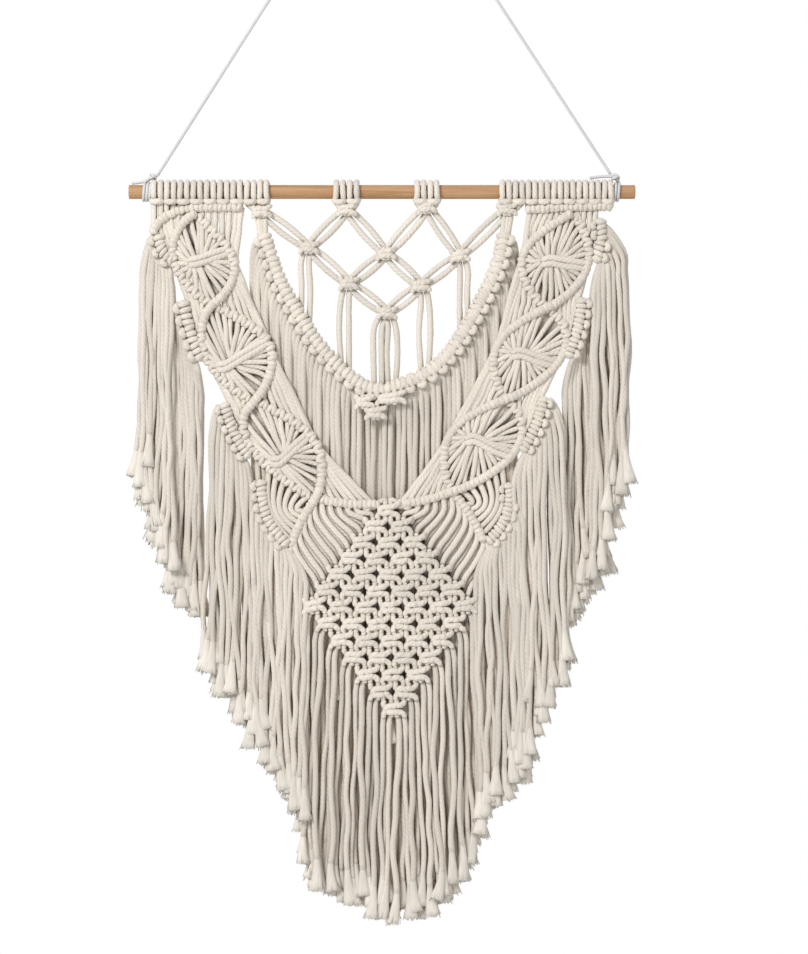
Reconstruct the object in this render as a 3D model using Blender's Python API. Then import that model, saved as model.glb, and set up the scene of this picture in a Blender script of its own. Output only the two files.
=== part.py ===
"""Macrame wall hanging on a dowel.

Shapes are worked out in millimetres and finished in metres. "Across" is measured
from the hanging point's plumb line, "drop" down from the dowel's axis, and "depth"
from the dowel's axis towards the viewer. The origin is the point where the hanging
cord bears on its peg, and the front of the hanging faces -Y.
"""
import math

import bmesh
import bpy
import numpy as np

MM = 0.001
FLAT = math.radians(2)
SHARP = math.radians(40)

# Dowel and hanging cord
DOWEL_LENGTH = 506
DOWEL_MIDDLE = -2
DOWEL_RADIUS = 7
DOWEL_DROP = 358
DOWEL_SIDES = 24
DOWEL_EASE = 0.5
CORD_RADIUS = 1.5
CORD_SIDES = 8
LOOP_RADIUS = 9.2
LOOP_STEPS = 12
LOOP_SIDES = 6
PEG_BEND = 5
PEG_SAG = 2.6
KNOT_RADIUS = 2.2
CORD_KNOTS = (
    {"knot": ((-238.5, -10.4), (-226, -17.4)), "loop": -236.9,
     "tail": ((-237, -10.9), (-245, -9.2), (-252, -9.2))},
    {"knot": ((234.5, -10.4), (227, -17)), "loop": 232.6,
     "tail": ((229, -15.2), (222, -14.6), (208, -14.6))},
)

# Cotton strands, and the depths at which they hang
STRAND = 2.9
FRONT_LAYER = 8.4
MIDDLE_LAYER = 3.6
BACK_LAYER = -1.6
WALL_LAYER = -6.3
SWAG_LAYER = -1.8
SWAG_ROOT = -1.4
NET_DEPTH = 1.5
FAN_DEPTH = 4.5

# Lark's heads over the dowel, and the bar knotted under them
HEAD_SIDES = 6
HEAD_BORE = 8.5
HEAD_GROOVE = 11.2
HEAD_RIDGE = 12.6
HEADING_DROP = 16

# Knotted bars: how far apart the ridges are, half width, half depth
WING_BAR = {"pitch": 14, "width": 4.1, "depth": 4.2}
SCALLOP_BAR = {"pitch": 13, "width": 6.8, "depth": 4.2}
SWAG_BAR = {"pitch": 14, "width": 7.0, "depth": 5.4}
HEADING_BAR = {"pitch": 13, "width": 5.6, "depth": 4.4}
TAB_BAR = {"pitch": 13, "width": 4.0, "depth": 4.4}
NET_KNOT = {"pitch": 12, "width": 5.0, "depth": 4.6}
SPIDER_KNOT = {"pitch": 14, "width": 5.6, "depth": 5.0}
BAR_DEPTH = 6.2
SWAG_BAR_DEPTH = 4.8
SWAG_KNOT_DEPTH = 5.2
HEADING_BAR_DEPTH = 5
SPIDER_DEPTH = 7
GROOVE = 0.8

# Blocks of lark's heads: left edge, right edge, strands over the dowel
LEFT_BLOCK = {"left": -233, "right": -142, "strands": 14}
RIGHT_BLOCK = {"left": 141, "right": 229.5, "strands": 14}
TABS = (
    {"left": -139, "right": -114, "strands": 4},
    {"left": -51, "right": -24, "strands": 4},
    {"left": 30, "right": 56, "strands": 4},
    {"left": 115, "right": 140, "strands": 4},
)

# Wings: each leaf from its top crossing down to the next one. Bulges are measured from
# the line between the crossings, and a skew under 1 puts the fullest place higher up.
# The gather is where the strands inside are drawn together, and how far off that line.
LEAF_COLUMNS = ("across", "drop", "outer", "outer_skew", "inner", "inner_skew", "gather_at", "gather_off")
LEFT_LEAVES = (
    (-187, 21, 34, 0.80, 30, 1.40, 0.55, 7),
    (-171, 113, 26.5, 0.80, 35.5, 1.25, 0.59, 14),
    (-129, 209, 27.5, 0.60, 29, 1.25, 0.56, 12),
)
RIGHT_LEAVES = (
    (187, 22, 29, 0.90, 36, 1.20, 0.54, -9),
    (162, 116, 34, 0.65, 29.5, 1.20, 0.54, -6),
    (122, 207, 34, 0.65, 30, 1.20, 0.49, -8),
)
LEFT_WING_END = (-68, 306)
RIGHT_WING_END = (68, 299)
LEFT_V_END = (-10.3, 311.5)
RIGHT_V_END = (18.2, 309)
V_SAG = 2.5
LEFT_LOBE_END = (-93, 353)
RIGHT_LOBE_END = (99, 348)

# Strands that run between the wing's bars: leaf and edge where they start and end, the
# stretch of each edge from 0 at its top to 1 at its foot, and how many there are.
FAN_COLUMNS = ("leaf", "edge", "start", "stop", "to_leaf", "to_edge", "to_start", "to_stop", "count")
LEFT_FANS = (
    (0, "inner", 0.60, 0.86, 1, "inner", 0.50, 0.24, 3),
    (0, "outer", 0.66, 0.82, 1, "outer", 0.38, 0.20, 2),
    (1, "inner", 0.62, 0.86, 2, "inner", 0.55, 0.26, 3),
    (1, "outer", 0.55, 0.78, 2, "outer", 0.25, 0.12, 2),
    (2, "inner", 0.62, 0.86, 3, "v", 0.84, 0.30, 3),
)
RIGHT_FANS = (
    (0, "inner", 0.62, 0.86, 1, "inner", 0.50, 0.24, 3),
    (0, "outer", 0.52, 0.78, 1, "outer", 0.27, 0.12, 2),
    (1, "inner", 0.62, 0.86, 2, "inner", 0.55, 0.26, 3),
    (1, "outer", 0.50, 0.76, 2, "outer", 0.27, 0.12, 2),
    (2, "inner", 0.66, 0.88, 3, "v", 0.84, 0.30, 3),
)
DROP_COLUMNS = ("edge", "across", "to_across", "start", "stop", "count")
LEFT_DROPS = (("inner", -173, -144, 0.26, 0.60, 4),)
RIGHT_DROPS = (("inner", 173, 145, 0.22, 0.56, 4), ("outer", 196, 206, 0.10, 0.24, 2))
LOBE_FAN = {"start": 0.70, "stop": 0.88, "to_start": 0.88, "to_stop": 0.48, "count": 3, "belly": 9}
SPIDER_FANS = (0.27, 0.77)
SPIDER_HALF = (6, -1)
WRAP = {"above": 0.08, "depth": 7.5, "radius": 3.9}

# Scallops: knotted edge from start to end with its outward bulge, and the fringe
# under it, whose tips run along a line from the outer to the inner one.
SCALLOP_COLUMNS = (
    "name", "across", "drop", "end_across", "end_drop", "bulge",
    "first", "hang_outer", "hang_inner", "tip_outer", "tip_outer_drop",
    "tip_inner", "tip_inner_drop", "strands", "near_layer", "far_layer",
)
SCALLOPS = (
    ("scallop_left_1", -211.4, 29.5, -225.9, 68, 5, 0.30, -243, -222, -249, 305, -222, 372,
     10, FRONT_LAYER, MIDDLE_LAYER),
    ("scallop_left_2", -206.3, 109.5, -187.6, 169.2, 0, 0.06, -213, -187, -221, 380, -189, 430,
     10, BACK_LAYER, WALL_LAYER),
    ("scallop_left_3", -164.1, 212.9, -138.9, 265.2, 1, 0.06, -172, -141, -188, 482, -142, 548,
     12, FRONT_LAYER, MIDDLE_LAYER),
    ("scallop_left_4", -123.2, 289.2, -100, 352.1, 8, 0.10, -131, -97, -134, 566, -92, 625,
     12, FRONT_LAYER, MIDDLE_LAYER),
    ("scallop_right_1", 217.3, 28, 214.8, 69, 0, 0.25, 238, 217, 244, 300, 222, 385,
     9, FRONT_LAYER, MIDDLE_LAYER),
    ("scallop_right_2", 202.1, 107.3, 189.4, 164.7, 2, 0.06, 213, 190, 219, 412, 192, 470,
     10, BACK_LAYER, WALL_LAYER),
    ("scallop_right_3", 163.1, 208.2, 143.2, 257.3, 2, 0.06, 174, 144, 183, 484, 144, 588,
     12, FRONT_LAYER, MIDDLE_LAYER),
    ("scallop_right_4", 124, 292, 110.5, 347, 9, 0.08, 134, 104, 137, 592, 103, 650,
     11, FRONT_LAYER, MIDDLE_LAYER),
)

# Swag: middle line of its knotted bar
SWAG_LINE = (
    (-121, 43), (-115, 60), (-105, 88), (-90, 116), (-71, 146), (-51, 170), (-26, 191),
    (-4, 199), (16, 194), (46, 180), (68, 158), (86, 130), (100, 104), (113, 76), (121, 42),
)
SWAG_KNOTS = ((-9, 23, 206), (-19, 3, 216))
SWAG_FRINGE = {"left": -112, "right": 114, "count": 32, "tip_side": 395, "tip_middle": 520}

# Centre net: knots by number, and the pairs of strands that join them
NET_KNOTS = (
    (-124, 20), (-37, 19), (43, 18), (126, 20),
    (-75, 56), (2, 62), (76, 64),
    (-35, 92), (37, 94),
    (3, 121),
)
NET_PAIRS = (
    (0, 4), (1, 4), (1, 5), (2, 5), (2, 6), (3, 6),
    (4, 7), (5, 7), (5, 8), (6, 8),
    (7, 9), (8, 9),
)
NET_TAILS = ((4, -4), (7, -4), (9, -9), (9, 5), (8, 4), (6, 4))
PAIR_HALF = 2.94
TAIL_HALF = 4.2
TAB_STRAND_HALF = 3
KNOT_LENGTH = 16
TAB_BAR_DROP = 13
TAIL_LAYER = -2.8
TAB_FOOT = 2.6
TAIL_FOOT = 2

# Diamond: centres of its corner knots, knots along an edge, and its fringe
DIAMOND_TOP = (4, 318)
DIAMOND_LEFT = (-69, 413)
DIAMOND_RIGHT = (81, 413)
DIAMOND_FOOT = (10, 516)
DIAMOND_KNOTS = 7
KNOT_OUTLINE = ((5.0, 6.8), (10.8, 2.6))
KNOT_CROWN = 5.5
LATTICE_BACK = 1.8
LATTICE_RIM = 6.4
LATTICE_CROWN = 9.6
DROP_STRANDS = {"count": 7, "first": 0.12, "belly": 4, "inward": 3, "below": 8}
DROP_EDGES = (("v", 0.85, 0), ("lobe", 0.15, 0.9))
DIAMOND_FRINGE = {"left": -80, "right": 97, "count": 26, "root": 6, "overhang": 4, "spread": 1.04,
                  "near_depth": 6, "far_depth": 4.3}
DIAMOND_TIPS = (
    (-84, 640), (-74, 690), (-50, 703), (-15, 716), (14, 733), (45, 724), (66, 702), (82, 680),
    (103, 648),
)
TIP_STAGGER = 18
SHOULDER = 34
LAST_ROOT = 0.95


def place(across, drop, depth):
    """World point in millimetres."""
    return np.array((across, -depth, -(DOWEL_DROP + drop)), dtype=float)


def path(line, depth):
    """World points of a line of (across, drop) points at one depth."""
    return np.array([place(across, drop, depth) for across, drop in line])


def smooth(line, count):
    """Evenly spaced points on a Catmull-Rom curve through a line's points."""
    line = np.asarray(line, dtype=float)
    padded = np.vstack((2 * line[0] - line[1], line, 2 * line[-1] - line[-2]))
    pieces = []
    for before, start, end, after in zip(padded, padded[1:], padded[2:], padded[3:]):
        t = np.linspace(0, 1, 16, endpoint=False)[:, None]
        pieces.append(0.5 * (2 * start + (end - before) * t
                             + (2 * before - 5 * start + 4 * end - after) * t ** 2
                             + (3 * start - before - 3 * end + after) * t ** 3))
    return even(np.vstack(pieces + [line[-1:]]), count)


def even(line, count):
    """Resample a line to evenly spaced points."""
    line = np.asarray(line, dtype=float)
    run = np.concatenate(([0], np.cumsum(np.linalg.norm(np.diff(line, axis=0), axis=1))))
    wanted = np.linspace(0, run[-1], count)
    return np.column_stack([np.interp(wanted, run, line[:, axis]) for axis in range(line.shape[1])])


def outward_normal(start, end, outward):
    """Unit vector square to a line, on the side of the given sign of across."""
    run = np.subtract(end, start) / np.linalg.norm(np.subtract(end, start))
    normal = np.array((run[1], -run[0]))
    return normal * math.copysign(1, normal[0] * outward)


def bow(start, end, bulge, outward, t, skew=1):
    """Points at t from 0 to 1 on a half-sine arc that bulges outwards."""
    t = np.atleast_1d(t)[:, None]
    straight = np.asarray(start) + (np.asarray(end) - np.asarray(start)) * t
    return straight + outward_normal(start, end, outward) * bulge * np.sin(math.pi * t ** skew)


def rings(points, widths, depths, sides):
    """Rings of points round a path, one for each of its points."""
    tangent = np.gradient(points, axis=0)
    tangent /= np.linalg.norm(tangent, axis=1)[:, None]
    side = np.cross(tangent, (0, -1, 0))
    side /= np.linalg.norm(side, axis=1)[:, None]
    front = np.cross(side, tangent)
    angle = math.pi / 2 + np.arange(sides) * 2 * math.pi / sides
    across = np.cos(angle)[None, :, None] * np.asarray(widths)[:, None, None] * side[:, None, :]
    deep = np.sin(angle)[None, :, None] * np.asarray(depths)[:, None, None] * front[:, None, :]
    return points[:, None, :] + across + deep


def skin(ring_points):
    """Closed shell over a row of rings, with both ends filled."""
    count, sides = ring_points.shape[:2]
    faces = []
    for ring in range(count - 1):
        for side in range(sides):
            following = (side + 1) % sides
            faces.append((ring * sides + side, ring * sides + following,
                          (ring + 1) * sides + following, (ring + 1) * sides + side))
    faces.append(tuple(range(sides))[::-1])
    faces.append(tuple(range((count - 1) * sides, count * sides)))
    return ring_points.reshape(-1, 3), faces


def strand(points, radius=STRAND, sides=3):
    """Plain strand along world points."""
    points = np.asarray(points, dtype=float)
    sizes = np.full(len(points), float(radius))
    return skin(rings(points, sizes, sizes, sides))


def bar(line, size, depth=BAR_DEPTH):
    """Knotted bar along a line: one ridge for each knot, with grooves between."""
    length = np.linalg.norm(np.diff(line, axis=0), axis=1).sum()
    ridges = max(1, round(length / size["pitch"]))
    points = path(even(line, 2 * ridges + 1), depth)
    swell = np.where(np.arange(2 * ridges + 1) % 2, 1.0, GROOVE)
    return skin(rings(points, size["width"] * swell, size["depth"] * swell, 4))


def heads(block):
    """Row of lark's heads round the dowel, ridged at each strand and open for it."""
    sections = 2 * block["strands"] + 1
    across = np.linspace(block["left"], block["right"], sections)
    radius = np.where(np.arange(sections) % 2, HEAD_RIDGE, HEAD_GROOVE)
    across = np.concatenate((across, (block["right"], block["left"])))
    radius = np.concatenate((radius, (HEAD_BORE, HEAD_BORE)))
    angle = (np.arange(HEAD_SIDES) + 0.5) * 2 * math.pi / HEAD_SIDES
    vertices = np.zeros((len(across), HEAD_SIDES, 3))
    vertices[:, :, 0] = across[:, None]
    vertices[:, :, 1] = radius[:, None] * np.sin(angle)
    vertices[:, :, 2] = radius[:, None] * np.cos(angle) - DOWEL_DROP
    faces = []
    for ring in range(len(across)):
        for side in range(HEAD_SIDES):
            below = (ring + 1) % len(across)
            following = (side + 1) % HEAD_SIDES
            faces.append((ring * HEAD_SIDES + side, ring * HEAD_SIDES + following,
                          below * HEAD_SIDES + following, below * HEAD_SIDES + side))
    return vertices.reshape(-1, 3), faces


def shell_mesh(name, shells):
    """Mesh of one or more closed shells, with their faces turned outwards."""
    vertices = []
    faces = []
    for shell_vertices, shell_faces in shells:
        faces += [tuple(index + len(vertices) for index in face) for face in shell_faces]
        vertices += [tuple(vertex * MM) for vertex in shell_vertices]
    mesh = bpy.data.meshes.new(name)
    mesh.from_pydata(vertices, [], faces)
    build = bmesh.new()
    build.from_mesh(mesh)
    bmesh.ops.recalc_face_normals(build, faces=build.faces)
    build.to_mesh(mesh)
    build.free()
    return mesh


def material(name, colour, roughness):
    finish = bpy.data.materials.new(name)
    finish.use_nodes = True
    shader = finish.node_tree.nodes["Principled BSDF"]
    shader.inputs["Base Color"].default_value = (*colour, 1)
    shader.inputs["Roughness"].default_value = roughness
    shader.inputs["Metallic"].default_value = 0
    return finish


def cotton(name):
    return material(name + "_cotton", (0.84, 0.79, 0.70), 0.9)


def finished(name, mesh, finish):
    """Named object with its own material."""
    mesh.materials.clear()
    mesh.materials.append(finish)
    piece = bpy.data.objects.new(name, mesh)
    bpy.context.collection.objects.link(piece)
    return piece


def fused(name, shells, finish):
    """One solid from overlapping shells."""
    base = finished(name, shell_mesh(name, shells[:1]), finish)
    rest = finished(name + "_rest", shell_mesh(name + "_rest", shells[1:]), finish)
    union = base.modifiers.new("fuse", "BOOLEAN")
    union.operation = "UNION"
    union.solver = "EXACT"
    union.use_self = True
    union.object = rest
    graph = bpy.context.evaluated_depsgraph_get()
    mesh = bpy.data.meshes.new_from_object(base.evaluated_get(graph))
    base.modifiers.remove(union)
    base.data = mesh
    mesh.name = name
    bpy.data.objects.remove(rest)
    build = bmesh.new()
    build.from_mesh(mesh)
    bmesh.ops.dissolve_limit(build, angle_limit=FLAT, verts=build.verts, edges=build.edges)
    build.to_mesh(mesh)
    build.free()
    return base


def rounded(mesh):
    """Smooth shading, kept sharp at real edges."""
    mesh.shade_smooth()
    mesh.set_sharp_from_angle(angle=SHARP)


def make_dowel():
    """Turned wooden dowel with sawn ends and eased edges."""
    half = DOWEL_LENGTH / 2
    across = DOWEL_MIDDLE + np.array((-half, -half + DOWEL_EASE, half - DOWEL_EASE, half))
    radius = DOWEL_RADIUS - np.array((DOWEL_EASE, 0, 0, DOWEL_EASE))
    points = np.array([place(value, 0, 0) for value in across])
    mesh = shell_mesh("dowel", [skin(rings(points, radius, radius, DOWEL_SIDES))])
    rounded(mesh)
    finished("dowel", mesh, material("dowel_wood", (0.55, 0.33, 0.17), 0.55))


def cord_loop(across):
    """Turn of the hanging cord round the dowel."""
    angle = np.arange(LOOP_STEPS) * 2 * math.pi / LOOP_STEPS
    ring = np.arange(LOOP_SIDES) * 2 * math.pi / LOOP_SIDES
    reach = LOOP_RADIUS + CORD_RADIUS * np.cos(ring)[None, :]
    vertices = np.zeros((LOOP_STEPS, LOOP_SIDES, 3))
    vertices[:, :, 0] = across + CORD_RADIUS * np.sin(ring)[None, :]
    vertices[:, :, 1] = reach * np.sin(angle)[:, None]
    vertices[:, :, 2] = reach * np.cos(angle)[:, None] - DOWEL_DROP
    faces = []
    for turn in range(LOOP_STEPS):
        for side in range(LOOP_SIDES):
            here, onward = turn * LOOP_SIDES, (turn + 1) % LOOP_STEPS * LOOP_SIDES
            following = (side + 1) % LOOP_SIDES
            faces.append((here + side, here + following, onward + following, onward + side))
    return vertices.reshape(-1, 3), faces


def make_hanging_cord():
    """Cord from a knot on the dowel, over the peg and down to the other knot."""
    left, right = CORD_KNOTS
    top = -DOWEL_DROP - CORD_RADIUS
    route = (left["knot"][1], (-PEG_BEND, top + PEG_SAG), (0, top), (PEG_BEND, top + PEG_SAG),
             right["knot"][1])
    shells = [strand(path(route, 0), CORD_RADIUS, CORD_SIDES)]
    for end in CORD_KNOTS:
        shells.append(cord_loop(end["loop"]))
        shells.append(strand(path(end["knot"], 0), KNOT_RADIUS, LOOP_SIDES))
        shells.append(strand(path(end["tail"], 0), CORD_RADIUS, LOOP_SIDES))
    cord = fused("hanging_cord", shells, material("hanging_cord_cotton", (0.72, 0.72, 0.72), 0.85))
    rounded(cord.data)


class Wing:
    """One wing's bars and strands, worked out from its leaves."""

    def __init__(self, outward, leaves, end, v_end, lobe_end, block, fans, drops):
        self.outward = outward
        self.fan_rows = fans
        self.drop_rows = drops
        self.leaves = [dict(zip(LEAF_COLUMNS, row)) for row in leaves]
        self.crossings = [(leaf["across"], leaf["drop"]) for leaf in self.leaves] + [end]
        self.v_end = v_end
        self.lobe_end = lobe_end
        self.block = block

    def edge(self, leaf, name, t):
        """Points at t on a leaf's outer or inner edge, on the V bar or on the lobe's edge."""
        if name == "v":
            return bow(self.crossings[3], self.v_end, V_SAG, self.outward, t)
        if name == "lobe":
            return bow(self.crossings[3], self.lobe_end, V_SAG, self.outward, t)
        sign = self.outward if name == "outer" else -self.outward
        bulge, skew = self.leaves[leaf][name], self.leaves[leaf][name + "_skew"]
        return bow(self.crossings[leaf], self.crossings[leaf + 1], bulge, sign, t, skew)

    def bars(self):
        """The two bars that cross at the ends of each leaf."""
        t = np.linspace(0, 1, 12)
        runs = (("outer", "inner", "outer", "v"), ("inner", "outer", "inner", "lobe"))
        shells = []
        for run in runs:
            line = [self.edge(leaf, name, t)[:-1] for leaf, name in enumerate(run)]
            line.append(self.edge(3, run[3], 1.0))
            shells.append(bar(np.vstack(line), WING_BAR))
        return shells

    def heading(self):
        """Lark's heads over the dowel and the bar knotted under them."""
        left, right = self.block["left"], self.block["right"]
        inner = right if self.outward < 0 else left
        outer = left + right - inner
        under = ((outer - self.outward, HEADING_DROP), (inner + self.outward, HEADING_DROP))
        return [heads(self.block), bar(under, HEADING_BAR, HEADING_BAR_DEPTH)]

    def fans(self):
        """Strands that run straight from one bar to another."""
        shells = []
        for row in self.fan_rows:
            fan = dict(zip(FAN_COLUMNS, row))
            count = fan["count"]
            starts = self.edge(fan["leaf"], fan["edge"], np.linspace(fan["start"], fan["stop"], count))
            ends = self.edge(fan["to_leaf"], fan["to_edge"],
                             np.linspace(fan["to_start"], fan["to_stop"], count))
            shells += [strand(path(pair, FAN_DEPTH)) for pair in zip(starts, ends)]
        for row in self.drop_rows:
            fan = dict(zip(DROP_COLUMNS, row))
            across = np.linspace(fan["across"], fan["to_across"], fan["count"])
            ends = self.edge(0, fan["edge"], np.linspace(fan["start"], fan["stop"], fan["count"]))
            for start, end in zip(across, ends):
                shells.append(strand(path(((start, HEADING_DROP), end), FAN_DEPTH)))
        return shells

    def lobe(self):
        """Strands that curve down inside the lobe under the last leaf."""
        fan = LOBE_FAN
        starts = self.edge(2, "outer", np.linspace(fan["start"], fan["stop"], fan["count"]))
        ends = self.edge(3, "lobe", np.linspace(fan["to_start"], fan["to_stop"], fan["count"]))
        shells = []
        for start, end in zip(starts, ends):
            middle = (start + end) / 2 + (self.outward * fan["belly"], fan["belly"] / 2)
            shells.append(strand(path((start, middle, end), FAN_DEPTH)))
        return shells

    def spiders(self):
        """Strands drawn together inside each leaf, and the wrap round them."""
        shells = []
        for number, leaf in enumerate(self.leaves):
            start = np.array(self.crossings[number])
            end = np.array(self.crossings[number + 1])
            off = outward_normal(start, end, self.outward) * leaf["gather_off"]
            gather = start + (end - start) * leaf["gather_at"] + off
            knot = (gather - SPIDER_HALF, gather + SPIDER_HALF)
            shells.append(bar(knot, SPIDER_KNOT, SPIDER_DEPTH))
            for name in ("outer", "inner"):
                rim = self.edge(number, name, np.array(SPIDER_FANS))
                shells += [strand(path((gather, point), FAN_DEPTH)) for point in rim]
            right = "inner" if self.outward < 0 else "outer"
            wrap_end = self.edge(number, right, leaf["gather_at"] - WRAP["above"])[0]
            shells.append(strand(path((gather, wrap_end), WRAP["depth"]), WRAP["radius"]))
        return shells

    def make(self, name):
        shells = self.heading() + self.bars() + self.fans() + self.lobe() + self.spiders()
        fused(name, shells, cotton(name))


def hanging_strand(root, root_depth, hang, tip, layer):
    """Fringe strand from its root, over a shoulder and straight down to its tip."""
    shoulder = place(hang, root[1] + SHOULDER, layer)
    return strand((place(*root, root_depth), shoulder, place(*tip, layer)))


def make_scallop(row, outward):
    """Knotted scallop edge with the fringe that hangs from it."""
    scallop = dict(zip(SCALLOP_COLUMNS, row))
    start = (scallop["across"], scallop["drop"])
    end = (scallop["end_across"], scallop["end_drop"])
    shells = [bar(bow(start, end, scallop["bulge"], outward, np.linspace(0, 1, 16)), SCALLOP_BAR)]
    share = np.linspace(0, 1, scallop["strands"])
    roots = bow(start, end, scallop["bulge"], outward,
                scallop["first"] + (LAST_ROOT - scallop["first"]) * share)
    hangs = scallop["hang_outer"] + (scallop["hang_inner"] - scallop["hang_outer"]) * share
    tips = scallop["tip_outer"] + (scallop["tip_inner"] - scallop["tip_outer"]) * share
    drops = scallop["tip_outer_drop"] + (scallop["tip_inner_drop"] - scallop["tip_outer_drop"]) * share
    for number, (root, hang, tip, drop) in enumerate(zip(roots, hangs, tips, drops)):
        near = number % 2 == 0
        layer = scallop["near_layer"] if near else scallop["far_layer"]
        lifted = drop if near else drop - TIP_STAGGER
        shells.append(hanging_strand(root, BAR_DEPTH, hang, (tip, lifted), layer))
    fused(scallop["name"], shells, cotton(scallop["name"]))


def swag_drop(across):
    """Drop of the swag's middle line at a place across."""
    line = smooth(SWAG_LINE, 200)
    return np.interp(across, line[:, 0], line[:, 1])


def make_swag():
    """Swag bar between the outer tabs, with its tail knots and its fringe."""
    shells = [bar(smooth(SWAG_LINE, 90), SWAG_BAR, SWAG_BAR_DEPTH)]
    for left, right, drop in SWAG_KNOTS:
        shells.append(bar(((left, drop), (right, drop)), NET_KNOT, SWAG_KNOT_DEPTH))
    fringe = SWAG_FRINGE
    for across in np.linspace(fringe["left"], fringe["right"], fringe["count"]):
        root = (across, swag_drop(across) + 1)
        share = abs(across) / fringe["right"]
        tip = fringe["tip_middle"] + (fringe["tip_side"] - fringe["tip_middle"]) * share
        shells.append(strand((place(*root, SWAG_ROOT), place(across, tip, SWAG_LAYER))))
    fused("swag", shells, cotton("swag"))


def make_net():
    """Tabs of lark's heads with the open net of knots between them."""
    shells = []
    for tab in TABS:
        row = ((tab["left"] + 1, TAB_BAR_DROP), (tab["right"] - 1, TAB_BAR_DROP))
        shells.append(heads(tab))
        shells.append(bar(row, TAB_BAR, NET_DEPTH + 2))
    for across, drop in NET_KNOTS:
        ends = ((across - KNOT_LENGTH / 2, drop), (across + KNOT_LENGTH / 2, drop))
        shells.append(bar(ends, NET_KNOT, NET_DEPTH + 1.5))
    for upper, lower in NET_PAIRS:
        start = np.array(NET_KNOTS[upper], dtype=float)
        end = np.array(NET_KNOTS[lower], dtype=float)
        aside = outward_normal(start, end, 1) * PAIR_HALF
        for offset in (-aside, aside):
            shells.append(strand(path((start + offset, end + offset), NET_DEPTH)))
    for number, shift in NET_TAILS:
        across, drop = NET_KNOTS[number]
        for offset in (-TAIL_HALF, TAIL_HALF):
            hang = across + shift + offset
            foot = min(swag_drop(hang - STRAND), swag_drop(hang + STRAND)) - TAIL_FOOT
            top = place((across + hang) / 2, drop, NET_DEPTH)
            shells.append(strand((top, place(hang, foot, TAIL_LAYER))))
    for number, end in ((0, SWAG_LINE[0]), (3, SWAG_LINE[-1])):
        across, drop = NET_KNOTS[number]
        foot = end[1] - TAB_FOOT
        for offset in (-TAB_STRAND_HALF, TAB_STRAND_HALF):
            shells.append(strand(path(((across + offset, drop), (end[0] + offset, foot)), NET_DEPTH + 1)))
    fused("net", shells, cotton("net"))


def diamond_point(fall, rise):
    """Point of the diamond's lattice; fall runs to the right, rise to the left."""
    top = np.array(DIAMOND_TOP, dtype=float)
    left = np.array(DIAMOND_LEFT, dtype=float)
    right = np.array(DIAMOND_RIGHT, dtype=float)
    foot = np.array(DIAMOND_FOOT, dtype=float)
    last = DIAMOND_KNOTS - 1
    u, v = fall / last, rise / last
    return top * (1 - u) * (1 - v) + right * u * (1 - v) + left * (1 - u) * v + foot * u * v


def lattice():
    """Fourteen diagonal bars, seven each way, that cross at the square knots.

    Each crossing is an eight-cornered boss with a ridge across it. Two of its
    corners face each neighbour, and the stretches between neighbours join them.
    """
    (near, high), (far, low) = KNOT_OUTLINE
    outline = ((near, high), (far, low), (far, -low), (near, -high),
               (-near, -high), (-far, -low), (-far, low), (-near, high))
    ridge = ((KNOT_CROWN, 0), (-KNOT_CROWN, 0))
    ports = {(1, 0): (0, 1), (0, -1): (2, 3), (-1, 0): (4, 5), (0, 1): (6, 7)}
    vertices = []
    first = {}
    knots = [(fall, rise) for fall in range(DIAMOND_KNOTS) for rise in range(DIAMOND_KNOTS)]
    for knot in knots:
        first[knot] = len(vertices)
        across, drop = diamond_point(*knot)
        vertices += [place(across + x, drop + y, LATTICE_RIM) for x, y in outline]
        vertices += [place(across + x, drop + y, LATTICE_BACK) for x, y in outline]
        vertices += [place(across + x, drop + y, LATTICE_CROWN) for x, y in ridge]
    faces = []
    for knot in knots:
        start = first[knot]
        corners = [start + corner for corner in range(8)]
        backs = [corner + 8 for corner in corners]
        right, left = start + 16, start + 17
        faces.append((corners[1], corners[2], right))
        faces.append((corners[5], corners[6], left))
        faces.append((corners[2], corners[3], right))
        faces.append((corners[0], corners[1], right))
        faces.append((corners[4], corners[5], left))
        faces.append((corners[6], corners[7], left))
        faces.append((corners[3], corners[4], left, right))
        faces.append((corners[7], corners[0], right, left))
        faces.append(tuple(backs)[::-1])
        for corner in (1, 3, 5, 7):
            onward = (corner + 1) % 8
            faces.append((corners[onward], corners[corner], backs[corner], backs[onward]))
        for (fall, rise), (one, two) in ports.items():
            neighbour = (knot[0] + fall, knot[1] + rise)
            if neighbour not in first:
                faces.append((corners[two], corners[one], backs[one], backs[two]))
            elif fall + rise > 0:
                far_two, far_one = ports[(-fall, -rise)]
                other_one, other_two = first[neighbour] + far_one, first[neighbour] + far_two
                faces.append((corners[two], corners[one], other_one, other_two))
                faces.append((backs[one], backs[two], other_two + 8, other_one + 8))
                faces.append((corners[one], backs[one], other_one + 8, other_one))
                faces.append((backs[two], corners[two], other_two, other_two + 8))
    return np.array(vertices), faces


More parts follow.
